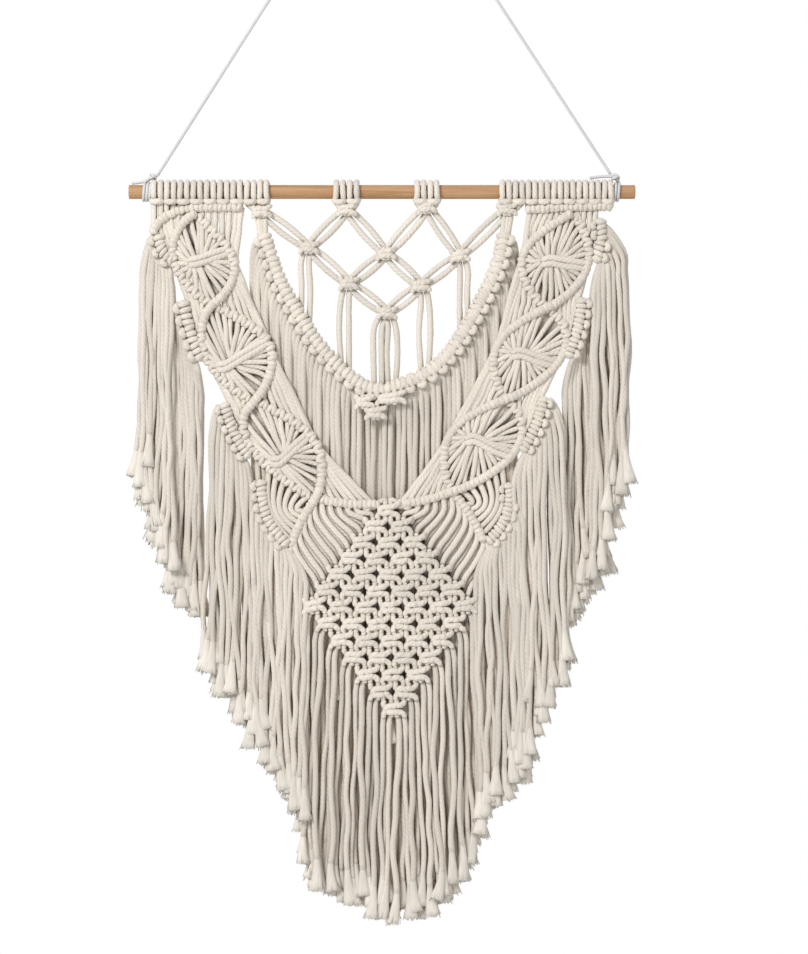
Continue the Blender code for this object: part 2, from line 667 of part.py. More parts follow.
def make_diamond(wings):
    """Lattice of square knots, the strands that carry it and its long fringe."""
    shells = [lattice()]
    share = np.linspace(DROP_STRANDS["first"], 1, DROP_STRANDS["count"])
    for wing, corner in zip(wings, (DIAMOND_LEFT, DIAMOND_RIGHT)):
        line = np.vstack([wing.edge(3, name, np.linspace(start, stop, 8))
                          for name, start, stop in DROP_EDGES])
        starts = even(line, DROP_STRANDS["count"])
        for start, s in zip(starts, share):
            end = np.array(DIAMOND_TOP) + (np.array(corner) - DIAMOND_TOP) * s
            start = start + (-wing.outward * DROP_STRANDS["inward"], DROP_STRANDS["below"])
            middle = (start + end) / 2 + (wing.outward * DROP_STRANDS["belly"], 0)
            shells.append(strand(path((start, middle, end), FAN_DEPTH)))
    fringe = DIAMOND_FRINGE
    tips = np.array(DIAMOND_TIPS, dtype=float)
    edge = np.array((DIAMOND_LEFT, DIAMOND_FOOT, DIAMOND_RIGHT), dtype=float)
    for number, across in enumerate(np.linspace(fringe["left"], fringe["right"], fringe["count"])):
        near = number % 2 == 0
        root_depth = fringe["near_depth"] if near else fringe["far_depth"]
        overhang = fringe["overhang"]
        inside = min(max(across, DIAMOND_LEFT[0] - overhang), DIAMOND_RIGHT[0] + overhang)
        root = (inside, np.interp(inside, edge[:, 0], edge[:, 1]) + fringe["root"])
        tip = np.interp(across, tips[:, 0], tips[:, 1]) - (0 if near else TIP_STAGGER)
        layer = FRONT_LAYER if near else MIDDLE_LAYER
        shells.append(strand((place(*root, root_depth), place(across * fringe["spread"], tip, layer))))
    fused("diamond", shells, cotton("diamond"))


def main():
    for piece in list(bpy.data.objects):
        bpy.data.objects.remove(piece)
    make_dowel()
    make_hanging_cord()
    left = Wing(-1, LEFT_LEAVES, LEFT_WING_END, LEFT_V_END, LEFT_LOBE_END, LEFT_BLOCK,
                LEFT_FANS, LEFT_DROPS)
    right = Wing(1, RIGHT_LEAVES, RIGHT_WING_END, RIGHT_V_END, RIGHT_LOBE_END, RIGHT_BLOCK,
                 RIGHT_FANS, RIGHT_DROPS)
    left.make("wing_left")
    right.make("wing_right")
    make_net()
    make_swag()
    make_diamond((left, right))
    for row in SCALLOPS:
        make_scallop(row, -1 if "left" in row[0] else 1)


main()
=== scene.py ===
"""Macrame wall hanging: cotton cords, knots and fringe on a wooden dowel.

Laid out as an add-on and run as a script. Shapes are worked out in millimetres:
"across" runs to the viewer's right from the hanging point's plumb line, "drop" runs
down from the dowel's axis, and "depth" runs from that axis towards the viewer.
"""

import math

import bpy
import numpy as np
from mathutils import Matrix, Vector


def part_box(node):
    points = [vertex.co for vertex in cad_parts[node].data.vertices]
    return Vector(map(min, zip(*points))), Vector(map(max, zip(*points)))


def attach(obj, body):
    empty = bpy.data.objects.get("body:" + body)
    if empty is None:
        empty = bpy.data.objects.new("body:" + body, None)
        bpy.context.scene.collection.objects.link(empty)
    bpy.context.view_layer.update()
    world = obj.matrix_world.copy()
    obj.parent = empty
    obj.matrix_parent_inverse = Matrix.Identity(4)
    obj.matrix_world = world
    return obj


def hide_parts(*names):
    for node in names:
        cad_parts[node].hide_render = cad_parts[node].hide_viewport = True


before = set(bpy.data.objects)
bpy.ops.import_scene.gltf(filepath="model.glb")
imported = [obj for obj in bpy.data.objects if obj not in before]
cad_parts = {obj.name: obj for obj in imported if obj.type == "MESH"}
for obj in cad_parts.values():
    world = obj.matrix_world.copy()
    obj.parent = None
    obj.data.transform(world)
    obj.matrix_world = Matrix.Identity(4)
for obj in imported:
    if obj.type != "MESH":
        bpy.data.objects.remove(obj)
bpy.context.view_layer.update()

bl_info = {
    "name": "Macrame Wall Hanging",
    "version": (1, 0, 0),
    "blender": (4, 5, 0),
    "location": "View3D > Sidebar > Macrame",
    "description": "Ties a wall hanging's knots, bars and fringe as meshes",
    "category": "Add Mesh",
}

MM = 0.001
BODY = "root"
DOWEL_LOW, DOWEL_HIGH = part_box("dowel")
DOWEL_DROP = -(DOWEL_LOW.z + DOWEL_HIGH.z) / 2 / MM
DOWEL_RADIUS = (DOWEL_HIGH.z - DOWEL_LOW.z) / 2 / MM

# Depths at which the layers hang
BAR_DEPTH = 6.2
FAN_DEPTH = 4.0
FRONT_LAYER = 8.4
MIDDLE_LAYER = 3.6
BACK_LAYER = -1.6
WALL_LAYER = -6.3
NET_DEPTH = 1.5
TAIL_DEPTH = -3.5

# Rows of lark's heads over the dowel: left edge, right edge, heads
HEAD_ROWS = {
    "wing_left": ((-233, -140.5, 7),),
    "wing_right": ((141, 229.5, 7),),
    "net": ((-140, -114, 2), (-51, -24, 2), (30, 56, 2), (115, 141, 2)),
}

# A lark's head seen from what carries it: along it as a share of the head's width,
# outwards over it, and towards the viewer. Legs are mirrored, bars lie across both legs.
DOWEL_LEG = (
    (0.25, 11.0, -3.0), (0.25, 7.2, -7.0), (0.25, 0, -9.8), (0.25, -7, -7.0), (0.24, -9.8, 0),
    (0.24, -7, 7.0), (0.25, 0, 9.9), (0.26, 5.4, 8.6), (0.27, 9.0, 5.2),
)
DOWEL_BAR = (
    (-0.35, 8.0, 3.0), (-0.33, 10.0, 7.4), (-0.16, 10.6, 9.6), (0.16, 10.6, 9.6),
    (0.33, 10.0, 7.4), (0.35, 8.0, 3.0),
)
EDGE_BAR = ((-0.26, 5.2, 2.6), (-0.10, 7.6, 4.6), (0.10, 8.0, 5.0), (0.26, 6.0, 3.6))


def knot_path(upper):
    """A square knot's path from its upper half, which the lower half repeats upside down."""
    return (*upper, *((across, -down, depth) for across, down, depth in upper[-2::-1]))


# Square knot: the cord that makes its two bars, the cord that holds them at the left,
# and one of the cords inside, across, down and towards the viewer
KNOT_BARS = knot_path((
    (9.9, -8.2, 4.6), (10.0, -6.6, 4.8), (8.2, -4.7, 5.2), (5.2, -3.2, 6.0), (2.5, -2.9, 6.6),
    (0, -2.8, 6.6), (-4.0, -2.8, 6.6), (-6.6, -2.2, 5.9), (-7.5, 0, 5.0),
))
KNOT_ARM = knot_path((
    (-9.9, -8.2, 4.6), (-10.3, -6.4, 4.8), (-9.5, -4.2, 4.6), (-7.6, -2.0, 3.4), (-7.0, 0, 3.0),
))
KNOT_INSIDE = knot_path(((2.6, -8.2, 4.6), (2.6, -5.8, 4.2), (2.8, 0, 0.4)))

# Wings: each leaf from its top crossing to the next, the bulge of its outer and inner
# edge with a skew under 1 for fullness near the top, and where its strands are gathered.
# "over" is the bar that starts over the other, and "heading" the bar under the heads. A fan
# has the leaf, the edge and two places on it where its strands start, the same for where
# they end, and their number. Drops have the edge, two places across on the heading, two on
# the edge, and their number.
LEAF_COLUMNS = (
    "across", "drop", "outer", "outer_skew", "inner", "inner_skew", "gather_at", "gather_off",
)
WINGS = {
    "left": {
        "outward": -1,
        "leaves": (
            (-188, 22, 30, 0.80, 29, 1.35, 0.52, 8),
            (-171, 113, 26.5, 0.80, 35.5, 1.25, 0.59, 14),
            (-129, 209, 27.5, 0.60, 29, 1.25, 0.56, 12),
        ),
        "end": (-68, 306), "v_end": (-8, 312), "lobe_end": (-93, 354),
        "over": "outer",
        "heading": ((-142, 16), (-168, 16), (-193, 17), (-212, 22), (-225, 31), (-231, 42)),
        "fans": (
            (0, "inner", 0.56, 0.98, 1, "inner", 0.55, 0.03, 8),
            (0, "outer", 0.56, 0.98, 1, "outer", 0.50, 0.03, 7),
            (1, "inner", 0.60, 0.98, 2, "inner", 0.58, 0.03, 9),
            (1, "outer", 0.50, 0.98, 2, "outer", 0.42, 0.02, 8),
            (2, "inner", 0.62, 0.98, 3, "v", 0.94, 0.07, 8),
        ),
        "drops": (("inner", -181, -147, 0.07, 0.50, 6), ("inner", -144, -142, 0.60, 0.66, 2),
                  ("outer", -190, -230, 0.06, 0.50, 10)),
    },
    "right": {
        "outward": 1,
        "leaves": (
            (187, 22, 29, 0.90, 36, 1.20, 0.54, -9),
            (162, 116, 34, 0.65, 29.5, 1.20, 0.54, -6),
            (122, 207, 34, 0.65, 30, 1.20, 0.49, -8),
        ),
        "end": (68, 299), "v_end": (14, 312), "lobe_end": (99, 348),
        "over": "inner",
        "heading": ((142, 18), (165, 17), (190, 16), (210, 15), (227, 15)),
        "fans": (
            (0, "inner", 0.56, 0.98, 1, "inner", 0.55, 0.03, 8),
            (0, "outer", 0.48, 0.98, 1, "outer", 0.34, 0.02, 8),
            (1, "inner", 0.60, 0.98, 2, "inner", 0.58, 0.03, 9),
            (1, "outer", 0.46, 0.98, 2, "outer", 0.34, 0.02, 8),
            (2, "inner", 0.62, 0.98, 3, "v", 0.94, 0.07, 8),
        ),
        "drops": (("inner", 181, 146, 0.07, 0.56, 7), ("outer", 192, 212, 0.08, 0.34, 4)),
    },
}

# How far a bar comes forward where it crosses over another and goes back where it crosses
# under, and the share of a leaf that this takes
OVER, UNDER, CROSSING = 3.0, -2.4, 0.11

# Sag of the bars below the last crossing, and the strands of the open lobe there: where
# they start on the last leaf and end on the lobe's edge, their number and their belly
V_SAG = 2.5
LOBE = {"start": 0.56, "stop": 0.95, "to_start": 0.92, "to_stop": 0.30, "count": 6, "belly": 11}

# Half hitches on a bar: their pitch, the half width, half depth, cord and lean of each
# ring, how far two draw together, and the core's radius under beads and under tight ones
HITCH = {
    "pitch": 4.8, "across": 3.0, "deep": 2.7, "cord": 2.65, "lean": 1.2, "pairing": 0.42,
    "core": 3.2, "smooth_core": 4.3,
}

# Scallops: the band of heads from start to end with its outward bulge, heads on it, the
# places across between which its fringe hangs, the line from outside to inside along which
# the fringe ends, and the layers that it hangs in
SCALLOP_COLUMNS = (
    "across", "drop", "end_across", "end_drop", "bulge", "heads", "strands",
    "hang_outer", "hang_inner", "tip_outer", "end_outer", "tip_inner", "end_inner",
    "near_layer", "far_layer",
)
SCALLOPS = {
    "scallop_left_1": (-225, 44, -211, 70, 4, 3, 8, -241, -210, -246, 302, -210, 398,
                       FRONT_LAYER, MIDDLE_LAYER),
    "scallop_left_2": (-201, 110, -183, 168, 2, 5, 8, -212, -182, -213, 404, -182, 438,
                       BACK_LAYER, WALL_LAYER),
    "scallop_left_3": (-160, 212, -135, 265, 3, 6, 9, -173, -130, -178, 484, -126, 562,
                       FRONT_LAYER, MIDDLE_LAYER),
    "scallop_left_4": (-123.2, 289.2, -97, 353, 8, 7, 12, -134, -76, -134, 558, -76, 634,
                       FRONT_LAYER, MIDDLE_LAYER),
    "scallop_right_1": (215, 28, 212, 70, 3, 4, 7, 240, 207, 244, 298, 207, 410, FRONT_LAYER, MIDDLE_LAYER),
    "scallop_right_2": (198, 107, 184, 165, 3, 6, 8, 215, 180, 219, 386, 182, 446,
                        BACK_LAYER, WALL_LAYER),
    "scallop_right_3": (160, 206, 138.5, 259, 3, 6, 10, 179, 127, 184, 482, 128, 600,
                        FRONT_LAYER, MIDDLE_LAYER),
    "scallop_right_4": (124, 292, 104, 350, 9, 7, 11, 141, 90, 146, 586, 92, 640,
                        FRONT_LAYER, MIDDLE_LAYER),
}

# Swag: the middle of its band, its tail knots with how wide they are, and how low its
# fringe ends
SWAG_LINE = (
    (-121, 43), (-115, 60), (-105, 88), (-90, 116), (-71, 146), (-51, 170), (-26, 191),
    (-4, 199), (16, 194), (46, 180), (68, 158), (86, 130), (100, 104), (113, 76), (121, 42),
)
SWAG_HEADS = 35
SWAG_KNOTS = ((-19, 210, 0.8), (7, 206, 1.35), (-8, 221, 0.9))
SWAG_TIPS = {"side": 395, "middle": 520}

# Net: centres of its knots, the knots that each pair of cords joins, and the knots that
# pairs of tails leave with how far they shift across
NET_KNOTS = (
    (-122, 20), (-37, 18), (43, 16), (123, 18),
    (-75, 56), (2, 62), (76, 64),
    (-35, 92), (37, 94),
    (3, 121),
)
TAB_KNOTS = np.array(NET_KNOTS[:4], float)[:, 0]
NET_PAIRS = (
    (0, 4), (1, 4), (1, 5), (2, 5), (2, 6), (3, 6),
    (4, 7), (5, 7), (5, 8), (6, 8),
    (7, 9), (8, 9),
)
NET_TAILS = ((4, -4), (7, -4), (9, -9), (9, 5), (8, 4), (6, 4))

# Combed-out ends: radii of the flared tuft at its root and rim, how much wider than deep
# it is, the depth of its flutes, and the fibres that leave its rim with their radii
TUFT = {"root": 2.6, "rim": 5.7, "flat": 0.30, "flute": 0.13, "sides": 14}
FIBRES = {"count": 22, "spread": 6.2, "root": 0.85, "tip": 0.5}

# Slow waves of a fringe cord: shortest and longest wavelength, and reach to each side
WAVES = ((170, 320, 2.3), (50, 110, 1.1))

# Diamond of square knots: its corner knots, knots along an edge, and the line along which
# its fringe ends
DIAMOND = {"top": (4, 318), "left": (-69, 413), "right": (81, 413), "foot": (10, 516), "knots": 7}
DIAMOND_TIPS = (
    (-92, 606), (-85, 640), (-78, 690), (-50, 712), (-15, 722), (14, 735), (45, 728), (66, 706),
    (82, 688), (95, 660), (102, 612), (112, 585),
)

# Hanging cord at the dowel's left and right end: the knot, to where its run to the peg
# starts, the places across of its loops round the dowel, and its tail
HANGER_ENDS = (
    (((-238.5, -10.4, 0), (-232, -14, 2.6), (-226, -17.4, 0)), (-239.5, -236.4, -233.4),
     ((-237, -10.9, 2), (-245, -9.4, 1), (-252, -8.9, 0))),
    (((234.5, -10.4, 0), (231, -14, 2.6), (227, -17, 0)), (231.0, 234.2),
     ((229, -15.2, 2), (219, -15.4, 1), (206, -14.2, 0))),
)

# Tones that the fringe's cords take, from 0, the deepest, to 1
FRINGE_SHADES = (0.0, 0.64)

# Painted shade in the hollows between cords: how near another cord darkens their colour, in
# metres, how warm the painted shade is, and by finish the share of open air under which the
# shade is painted and how much of the deep colour's light stays in it
PAINTED_SHADE_REACH = 0.014
PAINTED_SHADE_WARMTH = (1.0, 0.74, 0.46)
PAINTED_SHADE_BY_FINISH = {
    "twisted_cotton": (0.42, 0.24),
    "fringe_cotton": (0.20, 0.68),
    "brushed_cotton": (0.25, 0.70),
    "bleached_cord": (0.56, 0.42),
}

# Stage, in metres: the floor, each light's place, size and watts, the point that the lights
# face, and the camera's distance, the height that it sees there and the middle of its view
FLOOR = {"radius": 1.15, "level": -1.36, "corners": 96}
LIGHTS = {
    "key_light": ((-1.5, -2.4, 0.7), 0.8, 66),
    "fill_light": ((2.2, -2.6, -0.5), 2.2, 8),
    "back_light": ((0.6, 2.6, 0.4), 2.0, 40),
}
LIT_POINT = (0, 0, -0.6)
VIEW = {"distance": 3.0, "height": 0.954, "across": 0.020, "level": -0.643, "sensor_mm": 36}


class CordSettings(bpy.types.PropertyGroup):
    """Sizes of the cotton cord and of the hanging cord."""

    diameter: bpy.props.FloatProperty(
        name="Cord diameter", description="Thickness of the cotton cord", default=0.0059, unit="LENGTH")
    lay: bpy.props.FloatProperty(
        name="Lay", description="Length over which the cord's plies make one turn",
        default=0.014, unit="LENGTH")
    hanger: bpy.props.FloatProperty(
        name="Hanging cord", description="Thickness of the cord that the dowel hangs from",
        default=0.003, unit="LENGTH")
    brush: bpy.props.FloatProperty(
        name="Brushed end", description="Length of the combed-out end of a fringe cord",
        default=0.030, unit="LENGTH")


class ColourSettings(bpy.types.PropertyGroup):
    """Colours of the cotton, the hanging cord, the wood and the floor."""

    cotton: bpy.props.FloatVectorProperty(
        name="Cotton", description="Undyed cotton in the light", subtype="COLOR",
        default=(0.80, 0.745, 0.665), min=0, max=1)
    # Colour of the painted shade in the ply grooves and, darker, in the hollows between cords, and of
    # darker fibres
    cotton_shade_and_fibres: bpy.props.FloatVectorProperty(
        name="Cotton, deep", description="Undyed cotton between the plies", subtype="COLOR",
        default=(0.60, 0.52, 0.42), min=0, max=1)
    hanger: bpy.props.FloatVectorProperty(
        name="Hanging cord", description="Bleached cord", subtype="COLOR",
        default=(0.74, 0.74, 0.73), min=0, max=1)
    wood: bpy.props.FloatVectorProperty(
        name="Wood", description="Light parts of the dowel's grain", subtype="COLOR",
        default=(0.52, 0.31, 0.16), min=0, max=1)
    wood_deep: bpy.props.FloatVectorProperty(
        name="Wood, deep", description="Dark parts of the dowel's grain", subtype="COLOR",
        default=(0.36, 0.19, 0.085), min=0, max=1)
    floor: bpy.props.FloatVectorProperty(
        name="Floor", description="Studio floor", subtype="COLOR",
        default=(0.86, 0.86, 0.85), min=0, max=1)


def sizes():
    """The cord's sizes in millimetres."""
    cord = bpy.context.scene.macrame_cord
    return {name: getattr(cord, name) / MM for name in ("diameter", "hanger", "brush")}


def place(across, drop, depth):
    """World points in millimetres from across, drop and depth, arrays or single values."""
    across, drop, depth = (np.asarray(values, float) for values in (across, drop, depth))
    return together(across, -depth, -(DOWEL_DROP + drop))


def path(points):
    """World points from rows of (across, drop, depth)."""
    points = np.asarray(points, float)
    return place(points[..., 0], points[..., 1], points[..., 2])


def with_depth(flat, depth):
    """Rows of (across, drop, depth) from rows of (across, drop) and their depths."""
    return np.concatenate((flat, np.broadcast_to(depth, flat.shape[:-1])[..., None]), axis=-1)


def between(starts, ends, t):
    """Points at the shares t of the way from each start to its end."""
    return starts[:, None] + (ends - starts)[:, None] * t[:, None]


def control_rows(*stages):
    """Control rows from stages, each with all cords' (across, drop) and their depths."""
    return np.stack([with_depth(flat, depth) for flat, depth in stages], axis=1)


def drop_on(line, across):
    """Drop of a line of (across, drop) points at places across."""
    line = np.asarray(line, float)
    line = line[np.argsort(line[:, 0])]
    return np.interp(across, line[:, 0], line[:, 1])


def steps_of(lines):
    """Lengths of the steps from point to point along lines."""
    return np.linalg.norm(np.diff(lines, axis=-2), axis=-1)


def even(line, count):
    """A line's points moved along it until they are evenly spaced."""
    run = np.concatenate(([0], np.cumsum(steps_of(line))))
    wanted = np.linspace(0, run[-1], count)
    return np.column_stack([np.interp(wanted, run, line[:, axis]) for axis in range(line.shape[1])])


def curves(controls, count):
    """Catmull-Rom curves: between two points each is the cubic whose slope at a point is
    half the step between that point's neighbours."""
    p = np.asarray(controls, float)
    p = np.concatenate((2 * p[:, :1] - p[:, 1:2], p, 2 * p[:, -1:] - p[:, -2:-1]), axis=1)
    t = (np.arange(8) / 8)[:, None]
    before, start, end, after = (p[:, k:p.shape[1] - 3 + k, None] for k in range(4))
    dense = 0.5 * (2 * start + (end - before) * t
                   + (2 * before - 5 * start + 4 * end - after) * t ** 2
                   + (3 * start - before - 3 * end + after) * t ** 3)
    dense = dense.reshape(len(p), -1, p.shape[2])
    dense = np.concatenate((dense, p[:, -2:-1]), axis=1)
    return np.array([even(line, count) for line in dense])


def curve(controls, count):
    """One such curve."""
    return curves(np.asarray(controls, float)[None], count)[0]


def unit(vectors):
    """Vectors scaled to a length of one."""
    return vectors / np.maximum(np.linalg.norm(vectors, axis=-1, keepdims=True), 1e-9)


def slope(line):
    """Unit directions along a line and its normals, turned to the side that faces down."""
    along = unit(np.gradient(line, axis=0))
    square = np.column_stack((-along[:, 1], along[:, 0]))
    return along, square * np.where(square[:, 1:] < 0, -1, 1)


def normal_towards(start, end, sign):
    """Unit vector square to a line, on the side of the given sign of across."""
    run = unit(np.subtract(end, start).astype(float))
    normal = np.array((run[1], -run[0]))
    return normal * math.copysign(1, normal[0] * sign)


def bow(start, end, bulge, sign, t, skew=1.0, fullness=1.0):
    """An arc on the line from start to end: bulge times sin(pi t^skew)^fullness outwards."""
    t = np.atleast_1d(t)[:, None]
    straight = np.asarray(start, float) + np.subtract(end, start) * t
    rise = np.abs(np.sin(math.pi * t ** skew)) ** fullness
    return straight + normal_towards(start, end, sign) * bulge * rise


def together(*arrays):
    """Arrays that fit each other, side by side along a new last axis."""
    return np.stack(np.broadcast_arrays(*arrays), axis=-1)


def skin(first, onto, here, there, j, sides, order=(0, 1, 2, 3)):
    """Quads between rings of points, and their corners on the run map: from point j of the
    ring that begins at first to its next point, and the same on the ring that begins at
    onto. Here and there are the two rings' places on the run."""
    onward = (j + 1) % sides
    corners = ((first + j, here, j), (first + onward, here, j + 1),
               (onto + onward, there, j + 1), (onto + j, there, j))
    corners = [corners[number] for number in order]
    quads = together(*(point for point, run, turn in corners)).reshape(-1, 4)
    runs = np.stack([together(run, turn / sides) for point, run, turn in corners], axis=3)
    return quads, runs.reshape(-1, 4, 2)


class Skein:
    """Cords and wraps gathered into one mesh."""

    def __init__(self, seed, radius=None, lumps=0.03, shades=(0.45, 1.0)):
        self.random = np.random.default_rng(seed)
        self.lumps = lumps
        self.shades = shades
        self.radius = sizes()["diameter"] / 2 if radius is None else radius
        self.points = []
        self.tones = []
        self.faces = {3: [], 4: []}
        self.runs = {3: [], 4: []}
        self.total = 0

    def _add(self, points, tone, quads, quad_runs, tris=(), tri_runs=()):
        """Keep one batch of points and faces, numbered on from what was laid before."""
        self.points.append(points)
        self.tones.append(tone)
        for size, faces, runs in ((4, quads, quad_runs), (3, tris, tri_runs)):
            if len(faces):
                self.faces[size].append(faces + self.total)
                self.runs[size].append(runs)
        self.total += len(points)

    def cords(self, paths, radius=None, sides=8, tones=None, cap=0.45):
        """Tubes along paths: ring i is path point i plus the radius, which may differ from
        angle to angle, times cosine and sine of the angle, along a normal that is carried
        forward with as little turn as it can and its partner square to it. A point closes
        each end, cap radii past it."""
        paths = np.asarray(paths, float)
        count, steps = paths.shape[:2]
        radius = np.asarray(self.radius if radius is None else radius, float)
        if radius.ndim < 3:
            radius = np.broadcast_to(radius, (count, steps))[:, :, None]
            radius = radius * self.random.normal(1, self.lumps, (count, steps, 1))
        tangent = unit(np.gradient(paths, axis=1))
        normal = np.zeros_like(paths)
        normal[:, 0] = np.where(np.abs(tangent[:, 0, 1:2]) > 0.9, (1.0, 0.0, 0.0), (0.0, -1.0, 0.0))
        for step in range(steps):
            carried = normal[:, max(step - 1, 0)]
            level = (carried * tangent[:, step]).sum(axis=1, keepdims=True)
            normal[:, step] = unit(carried - level * tangent[:, step])
        partner = np.cross(tangent, normal)
        angle = (np.arange(sides) * 2 * math.pi / sides)[:, None]
        rings = paths[:, :, None] + radius[..., None] * (
            np.cos(angle) * normal[:, :, None] + np.sin(angle) * partner[:, :, None])
        past = cap * radius.mean(axis=2, keepdims=True) * tangent
        poles = np.stack((paths[:, 0] - past[:, 0], paths[:, -1] + past[:, -1]), axis=1)
        points = np.concatenate((rings.reshape(-1, 3), poles.reshape(-1, 3)))
        run = np.concatenate((np.zeros((count, 1)), np.cumsum(steps_of(paths), axis=1)), axis=1)
        run = (run + self.random.uniform(0, 60, (count, 1))) * MM
        c, i, j = np.ogrid[:count, :steps - 1, :sides]
        first = (c * steps + i) * sides
        quads, quad_runs = skin(first, first + sides, run[:, :-1, None], run[:, 1:, None], j, sides)
        c, j = np.ogrid[:count, :sides]
        onward = (j + 1) % sides
        start, stop = c * steps * sides, (c * steps + steps - 1) * sides
        pole = count * steps * sides + 2 * c
        tris = np.concatenate([together(*corners).reshape(-1, 3) for corners in (
            (pole, start + onward, start + j), (pole + 1, stop + j, stop + onward))])
        tri_runs = np.concatenate([
            np.stack([together(end, (j + turn) / sides) for turn in (0.5, 1, 0)], axis=2).reshape(-1, 3, 2)
            for end in (run[:, :1], run[:, -1:])])
        tone = self.random.uniform(*self.shades, count) if tones is None else tones
        tone = np.concatenate((np.repeat(tone, steps * sides), np.repeat(tone, 2)))
        self._add(points, tone, quads, quad_runs, tris, tri_runs)

    def lay(self, controls, step=5.0, radius=None, sides=8):
        """Cords on smooth curves through rows of (across, drop, depth) points."""
        controls = path(controls)
        length = steps_of(controls).sum(axis=1).max()
        self.cords(curves(controls, max(4, int(length / step) + 2)), radius, sides)

    def wraps(self, centre, across, deep, radius=None, steps=12, sides=8):
        """Closed rings: the path is centre plus across times cosine plus deep times sine of
        the angle, and the tube round it takes its own cosine and sine outwards in the
        ring's plane and square to that plane."""
        centre, across, deep = (np.asarray(v, float)[:, None] for v in (centre, across, deep))
        count = len(centre)
        radius = np.broadcast_to(self.radius if radius is None else radius, count)[:, None, None, None]
        turn = (np.arange(steps) * 2 * math.pi / steps)[None, :, None]
        line = centre + across * np.cos(turn) + deep * np.sin(turn)
        tangent = unit(deep * np.cos(turn) - across * np.sin(turn))
        axis = unit(np.cross(across, deep))
        outward = np.cross(tangent, axis)
        angle = (np.arange(sides) * 2 * math.pi / sides)[:, None]
        points = line[:, :, None] + radius * (
            np.cos(angle) * outward[:, :, None] + np.sin(angle) * axis[:, :, None])
        mean_square = (np.linalg.norm(across, axis=2) ** 2 + np.linalg.norm(deep, axis=2) ** 2) / 2
        length = 2 * math.pi * np.sqrt(mean_square)[:, :, None] * MM
        phase = self.random.uniform(0, 0.06, (count, 1, 1))
        c, i, j = np.ogrid[:count, :steps, :sides]
        first, onto = (c * steps + i) * sides, (c * steps + (i + 1) % steps) * sides
        here, there = phase + length * i / steps, phase + length * (i + 1) / steps
        quads, runs = skin(first, onto, here, there, j, sides, order=(0, 3, 2, 1))
        tone = np.repeat(self.random.uniform(*self.shades, count), steps * sides)
        self._add(points.reshape(-1, 3), tone, quads, runs)

    def rings(self, centre, across, depth, half_depth, radius, steps=12):
        """Rings round a carried cord, from their centres and half widths as rows of
        (across, drop), their depths and half their size towards the viewer."""
        level = np.zeros(len(centre))
        self.wraps(path(with_depth(centre, depth)), np.column_stack((across[:, 0], level, -across[:, 1])),
                   np.column_stack((level, -half_depth, level)), radius, steps)

    def mesh(self, name):
        """One mesh of all that was laid, with its run map and each cord's tone."""
        made = bpy.data.meshes.new(name)
        points = np.concatenate(self.points) * MM
        made.vertices.add(len(points))
        made.vertices.foreach_set("co", points.ravel())
        loops, starts, runs = [], [], []
        offset = 0
        for size in (4, 3):
            if self.faces[size]:
                faces = np.concatenate(self.faces[size])
                loops.append(faces.ravel())
                starts.append(offset + size * np.arange(len(faces)))
                runs.append(np.concatenate(self.runs[size]).reshape(-1))
                offset += faces.size
        loops, starts = np.concatenate(loops), np.concatenate(starts)
        made.loops.add(len(loops))
        made.loops.foreach_set("vertex_index", loops.astype(np.int32))
        made.polygons.add(len(starts))
        made.polygons.foreach_set("loop_start", starts.astype(np.int32))
        made.update(calc_edges=True)
        made.uv_layers.new(name="run").data.foreach_set("uv", np.concatenate(runs))
        made.attributes.new("tone", "FLOAT", "POINT").data.foreach_set(
            "value", np.concatenate(self.tones).astype(np.float32))
        made.shade_smooth()
        return made


def fill(tree, node, inputs):
    """Set a node's inputs by name or number, and link those whose value is a socket."""
    for name, value in inputs.items():
        if isinstance(value, bpy.types.NodeSocket):
            tree.links.new(value, node.inputs[name])
        else:
            node.inputs[name].default_value = value


def node_maker(tree):
    """A short way to add a shader node with its inputs set and linked."""

    def add(kind, inputs, **fields):
        node = tree.nodes.new(kind)
        for name, value in fields.items():
            setattr(node, name, value)
        fill(tree, node, inputs)
        return node

    return add


def plain_material(name):
    """New material, and its way to add nodes and to fill its Principled shader's inputs."""
    material = bpy.data.materials.new(name)
    material.use_nodes = True
    tree = material.node_tree

    def shade_with(inputs):
        fill(tree, tree.nodes["Principled BSDF"], inputs)

    return material, node_maker(tree), shade_with


def object_place(add):
    """Place on the object, in metres."""
    return add("ShaderNodeTexCoord", {}).outputs["Object"]


def noise(add, vector, scale, detail, distortion=0.0):
    """Grey clouds on a vector."""
    return add("ShaderNodeTexNoise", {"Vector": vector, "Scale": scale, "Detail": detail,
                                      "Distortion": distortion}).outputs["Fac"]


def ranged(add, value, start=0.0, stop=1.0, low=0.0, high=1.0):
    """A value spread so that start becomes low and stop becomes high, and held there."""
    return add("ShaderNodeMapRange", {"Value": value, "From Min": start, "From Max": stop,
                                      "To Min": low, "To Max": high}).outputs["Result"]


def worked_out(add, operation, first, second):
    """Sum or product of two values."""
    return add("ShaderNodeMath", {0: first, 1: second}, operation=operation).outputs["Value"]


def bumped(add, height, strength, distance, under=None):
    """A surface's normal, raised by a height over a distance in metres, on one under it."""
    inputs = {"Height": height, "Strength": strength, "Distance": distance}
    if under is not None:
        inputs["Normal"] = under
    return add("ShaderNodeBump", inputs).outputs["Normal"]


def mix_colours(add, factor, first, second):
    """Colour between two colours or sockets, first at factor 0."""
    first, second = (colour if isinstance(colour, bpy.types.NodeSocket) else (*colour, 1)
                     for colour in (first, second))
    return add("ShaderNodeMix", {0: factor, 6: first, 7: second}, data_type="RGBA").outputs[2]


